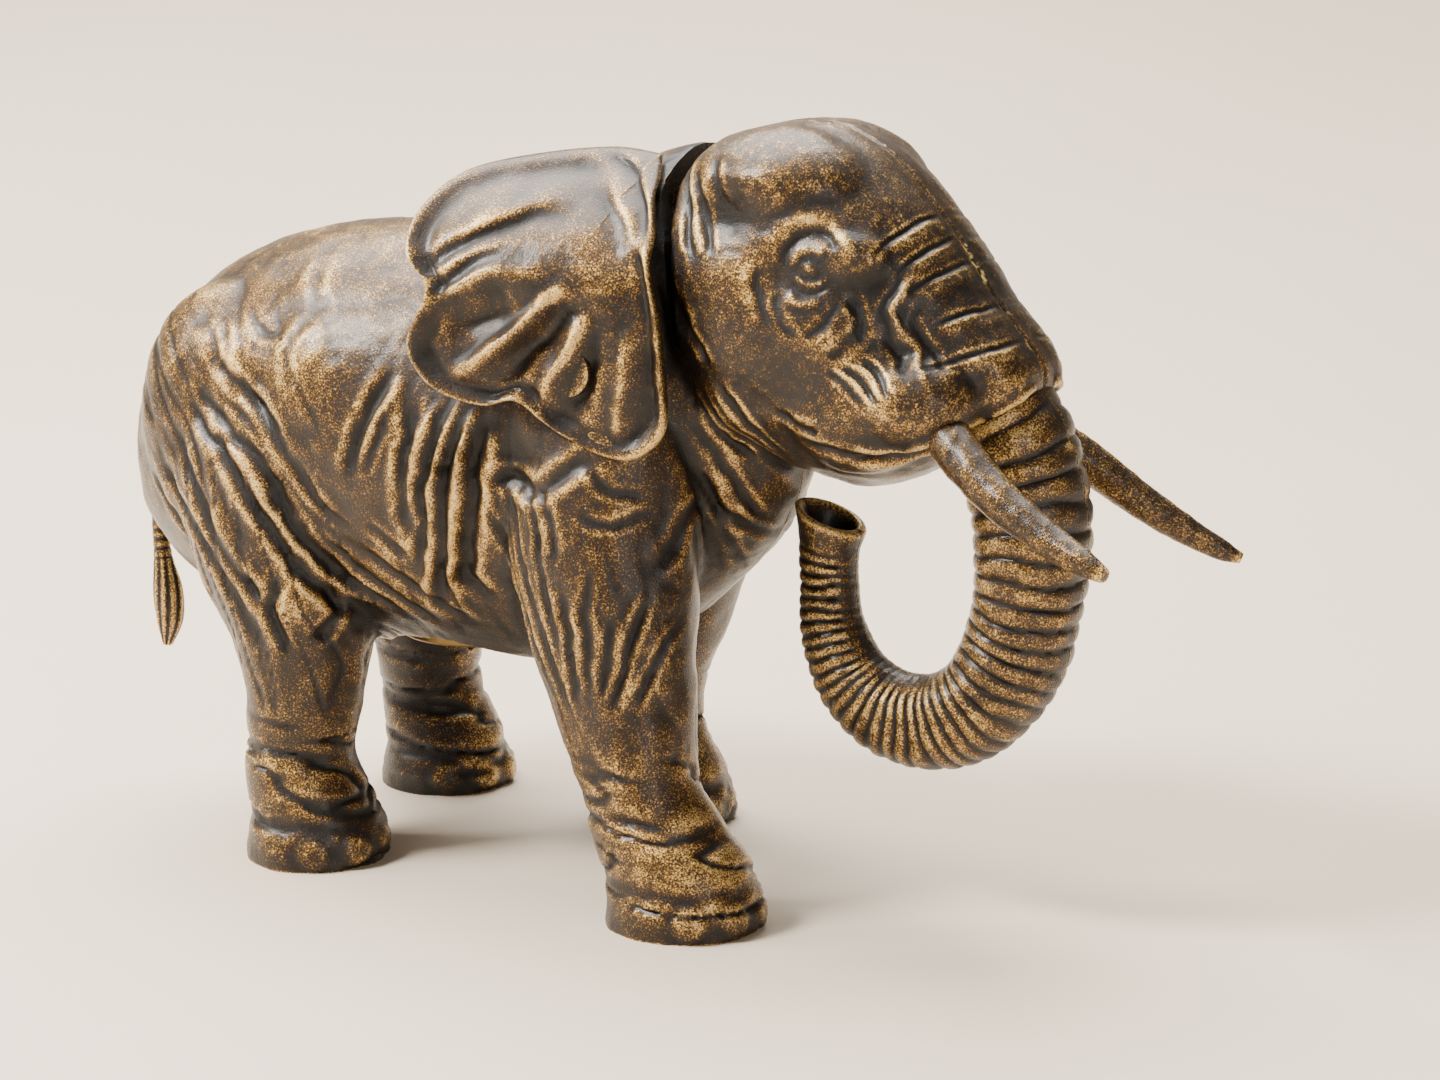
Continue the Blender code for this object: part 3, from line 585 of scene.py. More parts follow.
def flank_folds(skin):
    """The long folds of the flank, rump and belly."""
    for route, width, depth in (
        (((-10, 98), (-13, 92), (-16, 85), (-18, 77)), 1.3, 1.1),
        (((-10, 91), (-12, 85), (-15, 78)), 0.9, 0.7),
        (((-6, 94), (-5, 88), (-6, 80), (-6, 72), (-4, 66)), 1.2, 1),
        (((4, 95), (1, 88), (-2, 78), (-2, 69), (-5, 60)), 1.3, 1.3),
        (((7, 93), (4, 85), (2, 75), (1, 66), (-1, 58), (-3, 52)), 1.2, 1.4),
        (((13, 92), (10, 87), (9, 80), (8, 72), (6, 65), (5, 60), (9, 55)), 1.4, 1.5),
        (((9, 93), (7, 86), (6, 76), (4, 67), (2, 58), (3, 52), (8, 50)), 1, -1),
        (((5, 93), (2, 85), (0, 74), (-2, 63), (-5, 56), (-5, 50)), 1, -0.9),
        (((11, 79), (16, 80), (24, 79), (31, 84), (36, 86)), 1.3, 1.1),
        (((-54, 98), (-47, 93), (-40, 89), (-33, 83)), 1.1, 0.9),
        (((-57, 92), (-47, 84), (-38, 78), (-34, 71), (-29, 63), (-23, 56), (-10, 48)), 1.2, 1.1),
        (((-60, 89), (-48, 80), (-41, 72), (-35, 65), (-29, 57), (-22, 48)), 1.2, 1.1),
        (((-62, 83), (-55, 72), (-48, 62), (-41, 55), (-34, 48)), 1.2, 1),
        (((-68, 80), (-62, 69), (-54, 63), (-45, 54), (-38, 42)), 1.2, 1),
        (((-72, 74), (-66, 64), (-58, 55), (-50, 46)), 1.1, 0.8),
        (((-47, 95), (-39, 87), (-31, 79), (-26, 72), (-18, 66)), 1, 0.7),
        (((-27, 65), (-20, 59), (-13, 54), (-5, 49)), 1, 0.8),
        (((-19, 64), (-11, 59), (-4, 54), (3, 49)), 1, 0.8), (((-15, 69), (-6, 62)), 0.9, 0.6),
        (((-47, 106), (-42, 102), (-37, 102)), 0.8, 0.4), (((-31, 106), (-34, 99), (-31, 92)), 1.2, 0.35),
        (((-35, 116), (-33, 111), (-28, 106)), 1.3, 0.3), (((-52, 103), (-49, 99), (-50, 94)), 0.8, 0.35),
        (((-34, 57), (-35, 50), (-32, 42)), 1.1, 1.1), (((-27, 56), (-25, 50), (-28, 44)), 1, 0.9),
        (((45, 65), (47, 70), (48, 78)), 1.1, 0.7), (((48, 82), (50, 75), (53, 70)), 1, 0.8),
    ):
        skin.stroke(route, 1.1 * width, 0.82 * depth, lips=0.42 if depth > 0 else 0)


def leg_strokes(skin):
    """Long creases down the upper front legs, close to parallel, that lean back towards the knee."""
    for route, depth in (
        (((11, 75), (14, 68), (18, 60), (22, 52), (27, 43)), 0.8),
        (((15, 79), (18, 71), (21, 63), (25, 54), (29, 45), (32, 38)), 0.7),
        (((19, 82), (23, 74), (25, 66), (28, 57), (31, 48)), 0.7), (((24, 80), (28, 73), (29, 66)), 0.6),
        (((31, 62), (32, 54), (33, 46), (34, 40)), 0.7), (((36, 66), (35.5, 58), (36, 50), (36, 42)), 0.5),
        (((40, 58), (39.5, 50), (39, 43)), 0.6), (((45, 62), (43.5, 55), (42, 47), (40.5, 40)), 0.7),
        (((48.5, 56), (46.5, 48), (44, 41)), 0.6), (((34, 84), (38, 80), (43, 79)), 0.4),
        (((33, 76), (38, 74), (44, 76)), 0.35),
    ):
        skin.stroke(route, 0.85, depth, sides=(-1,), lips=0.4)


def head_strokes(skin):
    stroke = skin.stroke
    # Brow, lids, eye and the folds round it.
    for row in (
        (((65, 121), (66, 126), (70, 129.3), (74, 129.8), (78, 126.5), (80, 122)), 2, -0.6, 0),
        (((67.6, 122), (69.2, 125.2), (72.5, 127), (76, 126.6), (79, 123)), 1.1, 0.7, 0),
        (((69.6, 121.2), (71, 123.6), (73.4, 124.2), (75.6, 122.8)), 1, -0.4, 0),
    ):
        stroke(*row)
    skin.pad(73, 121.2, 1.9, 1.5, 0.55)
    for row in (
        (((70.4, 119.8), (72.2, 118.6), (74.6, 118.6), (76.8, 120.2)), 0.5, -0.4, 0),
        (((69.4, 118.6), (72, 117.1), (75, 117.3), (77.4, 119)), 0.55, 0.35, 0),
        (((69, 116.6), (72, 115.2), (75.6, 115.8)), 0.9, -0.3, 0),
        (((66.8, 117), (69, 112), (72, 109.4)), 0.9, 0.4, 0.15),
        (((78.6, 116), (76.6, 112), (73.4, 109.6)), 0.9, 0.35, 0.15),
        (((64.2, 122), (63.8, 118), (65.6, 113.5), (68, 110)), 1.2, 0.3, 0.2),
        (((80, 117), (82, 113), (82, 109)), 1, 0.4), (((77, 106), (81, 109), (84, 113)), 1, 0.3),
    ):
        stroke(*row)
    # The ladder of soft steps between the forehead's edge and the seam, plainer on the left.
    for route, depth in (
        (((83.6, 124), (85.2, 126.8), (87.6, 129.4), (89, 130.2)), 0.42),
        (((86.6, 119.8), (88.4, 122.8), (90.6, 125.4), (92, 126.2)), 0.45),
        (((89, 116.8), (91.2, 119.4), (94.2, 121.6), (96, 122)), 0.45),
        (((93, 111.6), (96, 113.2), (99, 114), (101.6, 114.2)), 0.5),
        (((92.6, 104.3), (96, 105.5), (100, 107), (104.6, 108.4)), 0.5),
    ):
        for side, share in ((-1, 1), (1, 0.5)):
            stroke(route, 0.5, 0.8 * share * depth, sides=(side,), lips=0.25, fade=0.35)
            below = tuple((x + 1.2, z - 1.9) for x, z in route)
            stroke(below, 1.5, -0.26 * share, sides=(side,), lips=0)
    for row in (
        (((89.5, 121), (88, 117), (87, 113.5), (88.6, 110.3), (93, 105.3), (97, 100.4)), 1.1, -0.6, 0),
        (((87.6, 120), (86.2, 116), (85.8, 112), (88, 107.8), (92.5, 102.3)), 0.9, 0.5, 0.1),
        (((91, 116), (90.4, 112.5), (92.8, 108.6), (97, 104)), 0.7, 0.3),
        # Cheek wrinkles, mouth and jaw.
        (((77, 104), (81, 101.5), (85, 98.3)), 0.6, 0.4), (((80, 105), (84, 102.5), (88, 98.8)), 0.6, 0.5),
        (((83, 106.5), (87, 103.5), (90, 99.8)), 0.6, 0.45), (((70, 91), (76, 89.6), (82, 89)), 1.1, 0.5),
        (((66, 96), (70, 93.4), (76, 92.6)), 1, 0.4),
        # Upright creases of the neck, right in front of the slit.
        (((44, 137), (45.5, 132), (48, 126), (50, 121)), 0.9, 0.7),
        (((48, 137), (49, 133), (52, 127), (54, 122)), 0.9, 0.5),
        (((41, 135), (42, 127), (44, 119), (47, 112), (50, 106)), 1, 0.8),
        (((52, 139), (53, 135), (55, 131)), 1, 0.4), (((47, 116), (50, 109), (54, 102)), 0.9, 0.5),
    ):
        stroke(*row)
    # Wrinkles of the throat and chest.
    for route in (
        ((50, 99), (54, 92), (58, 85), (60, 79)), ((55, 100), (59, 93), (63, 86)),
        ((47, 92), (51, 85), (54, 77), (55, 71)), ((46, 85), (49, 78), (50, 70), (49, 62)),
        ((57, 88), (60, 84), (62, 80)), ((51, 74), (54, 70), (56, 66)), ((50, 96), (52, 90), (56, 84)),
    ):
        stroke(route, 0.9, 0.5, lips=0.45)


def lip_edge(skin):
    """The undercut where the slab of the face ends and the trunk's rings start."""
    route = ((80, 88.6), (84, 88.4), (88, 88.8), (92, 89.8), (96, 91.3), (100, 93.4), (104, 96.2))
    skin.stroke((*route, (107.5, 98.4)), 1.3, 1.5, fade=0.12, lips=0.5)


def fine_skin(skin):
    """Creases and pebbling all over, by noise drawn out along the folds."""
    p = skin.p
    x, y, z = p.T
    head = smoothstep((x - 44 + (z - 110) * 0.1) / 6) * smoothstep((z - 78) / 6)
    lift = np.zeros(len(p))
    legs = np.zeros(len(p))
    for name in LEGS:
        own = (y > 0) == (side_of(name) > 0)
        cx = leg_axis(name, np.clip(z, 0, 80))
        near = smoothstep((24 - np.abs(x - cx)) / 5) * own
        legs = np.maximum(legs, near * smoothstep((70 - z) / 20))
        rings = near * inside(z, -5, 31, 6)
        q = columns(x / 24, y / 20, z / 4.0 + 0.03 * (x - cx))
        lift += 0.5 * rings * creases(q, 11)
        upper = near * inside(z, 31, 76, 8)
        q = columns((x - cx + 0.12 * z) / 3.8, y / 9, z / 30)
        lift += (0.1 if name == "right_front" else 0.25) * upper * creases(q, 23)
    torso = (1 - head) * (1 - legs)
    down = columns(x * 0.62 - z * 0.78, y * 0.25, x * 0.78 + z * 0.62)
    rear = smoothstep((-12 - x) / 18) * smoothstep((112 - z) / 14)
    q = columns(down[:, 0] / 34, y / 30, down[:, 2] / 4.6)
    lift += 0.22 * torso * rear * creases(q, 37)
    flank = inside(x, -14, 30, 16) * smoothstep((112 - z) / 14)
    q = columns(x / 4.4, y / 30, z / 30)
    lift += 0.16 * torso * flank * creases(q, 41)
    lift += 0.4 * fractal(p / 8.0, 61, 2) * (1 - 0.4 * head)
    lift += 0.10 * fractal(p / 1.9, 67, 2)
    seam = head * smoothstep((z - 96) / 6) * smoothstep((x - 60) / 10)
    lift -= 0.45 * seam * bell(y / 0.55)
    skin.lift += lift


def toes(skin):
    """Nails and the pads between them, round the front of each foot."""
    for name, rows in LEGS.items():
        side = side_of(name)
        x0, _, across, along = rows[-2]
        for degrees in (-58, -20, 18, 56):
            a = math.radians(degrees)
            place = np.array((x0 + along * math.cos(a), side * STANCE + across * math.sin(a), 3.6))
            d = (skin.p - place) / np.array((3.1, 3.1, 2.9))
            u = np.sqrt((d**2).sum(1))
            skin.lift += 0.35 * smoothstep((1.2 - u) / 0.7) - 0.2 * bell((u - 1.35) / 0.3)
        own = (np.abs(skin.p[:, 0] - x0) < 20) & (skin.p[:, 1] * side > 8)
        skin.lift += -0.5 * bell((skin.p[:, 2] - 8.5) / 1.4) * own


# ---- The trunk ----


def trunk_mesh():
    """A fine loft with grooves between its rings, an open tip and a smooth inner side."""
    rows = even(spline(TRUNK, 12), TRUNK_STEP)
    centres = columns(rows[:, 0], np.zeros(len(rows)), rows[:, 1])
    count = 84
    rings = path_rings(centres, rows[:, 2], rows[:, 3], count)
    tangent, side, up = path_frames(centres)
    run = np.arange(len(rows)) * TRUNK_STEP
    share = run / run[-1]
    gap = np.interp(share, (0.0, 0.3, 0.6, 0.85, 1.0), (5.2, 4.4, 2.7, 2.3, 2.1))
    phase = np.cumsum(TRUNK_STEP / gap)
    turn = around(count)
    normal = spokes(side, up, turn)
    inner = smoothstep((-np.sin(turn) - 0.62) / 0.25)[None, :] * smoothstep((share - 0.35) / 0.2)[:, None]
    axes = (np.cos(turn) * 1.3, np.sin(turn) * 1.3, phase[:, None] * 0.55)
    q = np.stack([np.broadcast_to(axis, rings.shape[:2]) for axis in axes], axis=-1).reshape(-1, 3)
    wobble = noise(q, 5).reshape(rings.shape[:2])
    g = np.abs(np.sin(math.pi * (phase[:, None] + 0.2 * wobble)))
    depth = np.interp(share, (0.0, 0.3, 0.7, 1.0), (0.85, 0.75, 0.7, 0.55))[:, None]
    tip = smoothstep((0.975 - share) / 0.03)[:, None]
    lift = depth * (np.minimum(g, 0.9) ** 0.6 - 0.75) * (1 - 0.85 * inner) * tip
    flat = rings.reshape(-1, 3)
    lift = lift + (0.10 * fractal(flat / 1.7, 71, 2) + 0.22 * noise(flat / 5.0, 73)).reshape(lift.shape)
    rings = rings + normal * lift[..., None]
    # The tip turns over its rim and goes down into the bore.
    last, radii = centres[-1], rows[-1, 2:4]
    extra = []
    inward = ((-0.5, 0.97), (-0.75, 0.88), (-0.5, 0.78), (0.4, 0.7), (2.0, 0.65), (6.0, 0.58), (7.0, 0.3))
    for drop, shrink in inward:
        across, along = radii * shrink
        ring = last + side[-1] * np.cos(turn)[:, None] * across + up[-1] * np.sin(turn)[:, None] * along
        extra.append(ring - tangent[-1] * drop)
    rings = np.concatenate((rings, np.array(extra)))
    slant = smoothstep((rings[..., 2] - 60.0) / 12.0) * (rings[..., 0] < 75.0)
    rings[..., 2] += slant * -0.36 * (rings[..., 0] - 65.0)
    return tube(rings)


# ---- Halves ----


def make_core():
    """The hollow, with a floor at the trap and a post round each screw and the rump dowel."""
    body = [row for row in BODY if -86.0 < row[0] < 50.0]
    head = [row for row in HEAD if row[0] < 90.0]
    core = joined("core", (tube(upright_rings(body, 48, 5.0)), tube(upright_rings(head, 48, 5.0))))
    core = remeshed(core, 2.5)
    set_points(core.data, smoothed(points_of(core.data), edges_of(core.data), 6))
    boolean(core, block("floor", (-100, -60, 0), (120, 60, 49.5)))
    boolean(core, upright_rod("pad", 50.5, 22.4, 48))
    for x, z in SCREW_PLACES.values():
        boolean(core, rod("boss", (x, -60, z), (x, 60, z), 7.2))
    x, z = DOWELS["rump"]
    boolean(core, rod("rump_boss", (x, -6, z), (x, 6, z), 6.0))
    return core


def slit_blade(skin, side):
    """The cutter of the slit beside one ear: it follows the skin and goes 4 mm into it."""
    rings = []
    for z, x, width in spline(SLIT, 6):
        hit = skin.seen(x, z, side)
        inner = max(2.0, (hit[1] * side if hit else 6.0) - 4.0)
        a, b = x - width / 2, x + width / 2
        rings.append([(x, side * y, z) for x, y in ((a, inner), (b, inner), (b, 60.0), (a, 60.0))])
    return mesh_object("slit", *tube(np.array(rings)))


def half(name, form, side, cutters):
    obj = linked(name, form.data.copy())
    boolean(obj, block("other", (-150, side * HALF_GAP, -40), (190, -side * 99, 190)))
    for cutter in cutters:
        boolean(obj, cutter, keep=True)
    return obj


# ---- Ears ----


def ear_distance(x, z):
    """|Y| of the ear without its folds: further out at the back, leaning in at the top."""
    back = np.maximum(0.0, (49.0 - x) / 52.0)
    lean = np.maximum(0.0, (z - 116.0) / 24.0)
    return 28.0 + 11.0 * back**0.9 - 25.0 * lean**1.8


def ear_middle(x, z, r):
    """Distance from the median plane of the middle of the ear's thickness, r being how far out in the ear."""
    return ear_distance(x, z) + EAR_DEPTH * ear_relief(x, z, r)


def ear_relief(x, z, r):
    """Outward height of the ear's folds: rolled rims, fans at the lower edge, long ridges at the top."""
    q = np.stack((x, z * 0, z), axis=-1).reshape(-1, 3) / 7.0
    x = x + 0.9 * noise(q, 111).reshape(x.shape)
    z = z + 0.9 * noise(q, 113).reshape(z.shape)
    points = np.stack((x, z), axis=-1).reshape(-1, 2)

    def ridge(route, width, height):
        best, where = (v.reshape(x.shape) for v in nearest(points, spline(route, 8)))
        ends = np.sin(math.pi * (0.06 + 0.88 * where)) ** 0.8
        return height * ends * np.exp(-best / width**2)

    h = np.zeros(x.shape)
    for route, width, height in (
        (((28, 140), (35, 136), (41.5, 130), (45.5, 126)), 1.1, 1.5),
        (((26, 139), (33, 135), (39, 129.5), (44, 123)), 1.5, -1.3),
        (((24, 138), (32, 134), (36, 130.5), (41, 125.5), (45, 119), (46, 114)), 1.5, 1.5),
        (((18, 134), (27, 131), (34, 126), (40, 118), (41, 111)), 3.2, -1.7),
        (((5, 124), (14, 129), (23, 130)), 2.6, 1.4),
        (((3, 118.5), (11, 124), (19, 127), (27, 127)), 1.7, -1.5),
        (((3, 116), (10, 121.5), (16, 124.5)), 1.6, 1.2),
        (((4, 112.5), (9, 117), (16, 120)), 1.2, -0.9),
        (((0, 105), (4, 111), (9, 115), (15, 118), (23, 119)), 1.9, 1.8),
        (((7, 106), (13, 111), (19, 114)), 3.6, -1.9),
        (((8, 98.5), (13, 101), (18, 105), (23, 110), (28, 115)), 1.8, 2.4),
        (((15, 96), (21, 103), (27, 109), (32, 113)), 2.1, -2.3),
        (((24, 93), (27.5, 100), (31, 106), (33, 110)), 1.7, 1.7),
        (((29, 91), (33.5, 100), (35, 110)), 2.0, -1.8),
        (((38.5, 90), (39.8, 99), (40.5, 108)), 1.5, 1.4),
        (((42.5, 89), (43.3, 99), (43, 108)), 1.2, -1.1),
    ):
        h += ridge(route, width, height)
    rim = bell((1 - r) / 0.055)
    h += 1.1 * rim - 0.9 * bell((r - 0.86) / 0.06)
    return h


def ear_mesh(side):
    outline = spline((*EAR_OUTLINE, EAR_OUTLINE[0]), 15)[:-1]
    if side > 0:
        outline[:, 1] -= 0.3 * np.maximum(0.0, outline[:, 1] - 124.0)
    count, rings = len(outline), 74
    middle = np.array((28.0, 113.0))
    r = 1 - (1 - np.linspace(0.0, 1.0, rings + 1)[1:]) ** 1.25
    flat = middle + (outline - middle)[None] * r[:, None, None]
    rr = np.broadcast_to(r[:, None], flat.shape[:2])
    x, z = flat[..., 0], flat[..., 1]
    q = np.stack((x, z * 0 + side * 3, z), axis=-1).reshape(-1, 3)
    y = ear_middle(x, z, rr)
    for _ in range(4):
        y = 0.5 * y + 0.25 * (np.roll(y, 1, 1) + np.roll(y, -1, 1))
        y[1:-1] = 0.5 * y[1:-1] + 0.25 * (y[2:] + y[:-2])
    y = y + (0.5 * fractal(q / 8.0, 81, 2) + 0.12 * fractal(q / 2.0, 83, 2)).reshape(y.shape)
    thick = EAR_HALF_THICKNESS * np.sqrt(np.clip(1 - ((rr - 0.93) / 0.07).clip(0) ** 2, 0, 1))
    outer = np.stack((x, side * (y + thick), z), axis=-1)
    inner = np.stack((x, side * (y - thick), z), axis=-1)
    points = [outer.reshape(-1, 3), inner[:-1].reshape(-1, 3)]
    mid_y = ear_middle(middle[:1], middle[1:], np.zeros(1))[0]
    ends = (mid_y + EAR_HALF_THICKNESS, mid_y - EAR_HALF_THICKNESS)
    points.append([(middle[0], side * y, middle[1]) for y in ends])
    points = np.vstack(points)
    faces = []
    back = rings * count
    for i in range(rings - 1):
        for k in range(count):
            j = (k + 1) % count
            faces.append((i * count + k, i * count + j, (i + 1) * count + j, (i + 1) * count + k))
            # The inner side's last ring is the outer side's, at the margin.
            a = back + i * count
            b = a + count if i < rings - 2 else (rings - 1) * count
            faces.append((a + k, b + k, b + j, a + j))
    tip = len(points) - 2
    for k in range(count):
        j = (k + 1) % count
        faces.append((tip, j, k))
        faces.append((tip + 1, back + k, back + j))
    return points, faces


def make_ear(name, side, form):
    ear = mesh_object(name, *ear_mesh(side))
    for x, z in EAR_BOSSES:
        reach = float(ear_middle(np.array([x]), np.array([z]), np.zeros(1))[0]) - 0.3
        boolean(ear, rod("boss", (x, side * 10, z), (x, side * reach, z), 4.6), "UNION")
    boolean(ear, form, keep=True)
    return ear


# ---- Tusks and tail ----


def tusk_mesh(keys):
    """A horn with a low crest along its top and a blunt end."""
    count = 40
    rows, rings = round_rings(keys, 10, 0.45, count)
    _, across, up = path_frames(rows[:, :3])
    turn = around(count)
    normal = spokes(across, up, turn)
    flat = rings.reshape(-1, 3)
    lift = (0.16 * fractal(flat / 3.0, 91, 2) + 0.07 * fractal(flat / 1.2, 93, 2)).reshape(rings.shape[:2])
    crest = np.abs(((turn - math.pi * 0.5 + math.pi) % (2 * math.pi)) - math.pi)
    lift = lift + (0.2 * bell(crest / 0.2) - 0.15)[None] * (rows[:, 3:4] / 4.0)
    rings = rings + normal * lift[..., None]
    end = rings[-1]
    cap = end.mean(0) + (end - end.mean(0)) * 0.8
    way = rows[-1, :3] - rows[-2, :3]
    cap = cap + way / np.linalg.norm(way) * 0.5
    return tube(np.concatenate((rings, cap[None])))


def tail_mesh():
    """A ringed tail that ends in a tuft of strands."""
    count = 44
    rows, rings = round_rings(TAIL, 10, 0.4, count)
    turn = around(count)
    centres = rows[:, :3]
    tuft = smoothstep((50.0 - centres[:, 2]) / 8.0)[:, None]
    strands = np.abs(np.sin(turn[None] * 4.5 + centres[:, 2:3] * 0.12))
    ring_marks = np.abs(np.sin(centres[:, 2:3] * 1.6)) ** 0.5
    lift = tuft * (0.45 * strands - 0.3) + (1 - tuft) * 0.2 * (ring_marks - 0.6)
    away = rings - centres[:, None]
    away /= np.maximum(np.linalg.norm(away, axis=-1, keepdims=True), 1e-6)
    return tube(rings + away * lift[..., None])


# ---- Surface measures for the paint ----


def relief_of(mesh, times):
    """How proud each point stands of its surroundings, in millimetres, near and wide."""
    p, n, edges = points_of(mesh), normals_of(mesh), edges_of(mesh)
    length = np.linalg.norm(p[edges[:, 0]] - p[edges[:, 1]], axis=1)
    total = np.bincount(edges.ravel(), np.repeat(length, 2), len(p))
    mean = total / np.maximum(np.bincount(edges.ravel(), minlength=len(p)), 1)
    scale = (VOXEL / np.clip(mean, 0.25, 1.2)) ** 1.5
    near = smoothed(p, edges, 5)
    wide = smoothed(near, edges, times)
    fine = ((p - near) * n).sum(1) * scale
    broad = ((near - wide) * n).sum(1) * scale
    return fine, broad - 0.8 * smoothed(broad, edges, 80)


def finish_piece(obj, body, node, times=45):
    """Measures the surface for the paint, adds the painted highlight and painted shade of the castings, turns
    it to metres and hands the piece to the frame.
    """
    mesh = obj.data
    fine, broad = relief_of(mesh, times)
    p, n = points_of(mesh), normals_of(mesh)
    x, y, z = p.T
    proud = 0.9 if "ear" in obj.name else 0.4
    value = np.clip(fine / 0.14, -1.3, 1.5) * 0.5 + np.clip(broad / proud, -1.3, 1.2) * 0.5
    if "tusk" in obj.name:
        value -= 0.25
    if "casting" in obj.name:
        # Painted shade: a dark band on the skin along the slit between the ear and the head.
        slit = np.array(SLIT[::-1])
        slit_x = np.interp(z, slit[:, 0], slit[:, 1])
        slit_shade_band = (z > 105) * (np.abs(y) < 40)
        value -= 2.4 * slit_shade_band * bell((x - slit_x) / 2.2)
        value -= 0.7 * bell(y / 0.8)
        # Rubbed gold, with painted highlight and painted shade, one spot at a time.
        for at_x, at_z, reach_x, reach_z, amount in RUBBED_GOLD_AND_PAINTED_LIGHT:
            value += amount * np.exp(-(((x - at_x) / reach_x) ** 2) - ((z - at_z) / reach_z) ** 2)
        # Painted light from above: skin that faces up is made lighter, and painted shade darkens the low
        # sides of the legs that face in towards the other side.
        inward = smoothstep(-n[:, 1] * np.sign(y) * 1.5 - 0.2) * smoothstep((50 - z) / 12)
        value += 0.15 * n[:, 2] - 0.5 * inward
    # Specks of pale filler in the seam of the forehead.
    spots = noise(p / 1.1, 121) + 0.6 * noise(p / 0.5, 123)
    along = inside(z, 113, 127, 2) * (x > 88)
    along = along + bell((z - 132) / 1.3) * (x > 84)
    filler = smoothstep((spots + 1.1 * bell(y / 1.1) - 1.15) / 0.2)
    filler = filler * along * (np.abs(y) < 2)
    # The relief value holds the surface relief and, on the castings, the painted highlight and painted shade.
    for key, values in (("filler", filler), ("relief_and_painted_light", value)):
        layer = mesh.attributes.new(key, "FLOAT", "POINT")
        layer.data.foreach_set("value", values.astype(np.float32))
    set_points(mesh, (p + SHIFT) * MM)
    mesh.shade_smooth()
    mesh.set_sharp_from_angle(angle=math.radians(50.0))
    mesh.materials.clear()
    mesh.materials.append(bronze)
    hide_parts(node)
    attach(obj, body)


# ---- Paints ----


class Shader:
    """Shorthand for building a node material."""

    def __init__(self, name):
        self.material = bpy.data.materials.new(name)
        self.material.use_nodes = True
        self.tree = self.material.node_tree
        self.tree.nodes.clear()
        self.out = self.tree.nodes.new("ShaderNodeOutputMaterial")

    def node(self, kind, inputs=None, **settings):
        made = self.tree.nodes.new("ShaderNode" + kind)
        for key, value in settings.items():
            setattr(made, key, value)
        for key, value in (inputs or {}).items():
            if isinstance(value, bpy.types.NodeSocket):
                self.tree.links.new(value, made.inputs[key])
            else:
                made.inputs[key].default_value = value
        return made

    def math(self, operation, a, b=0.0, c=0.0):
        return self.node("Math", {0: a, 1: b, 2: c}, operation=operation).outputs[0]

    def noise(self, where, scale, detail=2.0, rough=0.5):
        inputs = {"Vector": where, "Scale": scale, "Detail": detail, "Roughness": rough}
        return self.node("TexNoise", inputs).outputs["Fac"]

    def ramp(self, value, stops):
        made = self.node("ValToRGB", {0: value})
        ramp = made.color_ramp
        while len(ramp.elements) < len(stops):
            ramp.elements.new(0.5)
        for element, (at, colour) in zip(ramp.elements, stops):
            element.position = at
            element.color = (*colour, 1.0)
        return made.outputs[0]

    def painted(self, inputs):
        """The material, with a Principled shader that has these inputs."""
        shader = self.node("BsdfPrincipled", inputs)
        self.tree.links.new(shader.outputs[0], self.out.inputs[0])
        return self.material


def patina(name):
    """Black-brown paint rubbed back to gold on the high places, made lighter or darker also by the painted
    highlight and painted shade in the relief attribute, with a fine sandy grain, under lacquer.
    """
    s = Shader(name)
    where = s.node("TexCoord").outputs["Object"]
    relief_and_painted_light = s.node("Attribute", attribute_name="relief_and_painted_light").outputs["Fac"]
    grain = s.noise(where, 2900.0, 3.0, 0.65)
    blotch = s.noise(where, 90.0, 3.0, 0.6)
    patch = s.noise(where, 28.0, 2.0, 0.5)
    level = s.math("MULTIPLY_ADD", relief_and_painted_light, 0.44, 0.36)
    level = s.math("ADD", level, s.math("MULTIPLY_ADD", blotch, 0.5, -0.25))
    level = s.math("ADD", level, s.math("MULTIPLY_ADD", patch, 0.4, -0.2))
    mixed = s.math("ADD", level, s.math("MULTIPLY_ADD", grain, 2.3, -1.15))
    stops = (
        (0.15, (0.005, 0.0035, 0.0025)),
        (0.40, (0.020, 0.011, 0.005)),
        (0.58, (0.085, 0.043, 0.012)),
        (0.80, (0.30, 0.172, 0.046)),
        (1.0, (0.72, 0.50, 0.19)),
    )
    colour = s.ramp(mixed, stops)
    metal = s.ramp(mixed, ((0.25, (0.25, 0.25, 0.25)), (0.6, (0.9, 0.9, 0.9))))
    putty = s.node("Attribute", attribute_name="filler").outputs["Fac"]
    mix = s.node("Mix", data_type="RGBA")
    s.tree.links.new(putty, mix.inputs[0])
    s.tree.links.new(colour, mix.inputs[6])
    mix.inputs[7].default_value = (0.70, 0.55, 0.20, 1.0)
    colour = mix.outputs[2]
    metal = s.math("SUBTRACT", metal, putty)
    rough = s.math("MULTIPLY_ADD", grain, 0.3, 0.25)
    height = s.math("ADD", s.math("MULTIPLY", grain, 0.6), s.math("MULTIPLY", blotch, 0.4))
    bump = s.node("Bump", {"Strength": 0.8, "Distance": 0.0005, "Height": height}).outputs[0]
    coat_bump = s.node("Bump", {"Strength": 0.35, "Distance": 0.0003, "Height": height}).outputs[0]
    coat = s.math("MULTIPLY_ADD", relief_and_painted_light, 0.15, 0.36)
    inputs = {"Base Color": colour, "Metallic": metal, "Roughness": rough, "Normal": bump}
    inputs |= {"Coat Weight": coat, "Coat Roughness": 0.1, "Coat Normal": coat_bump}
    return s.painted(inputs | {"Specular IOR Level": 0.3})


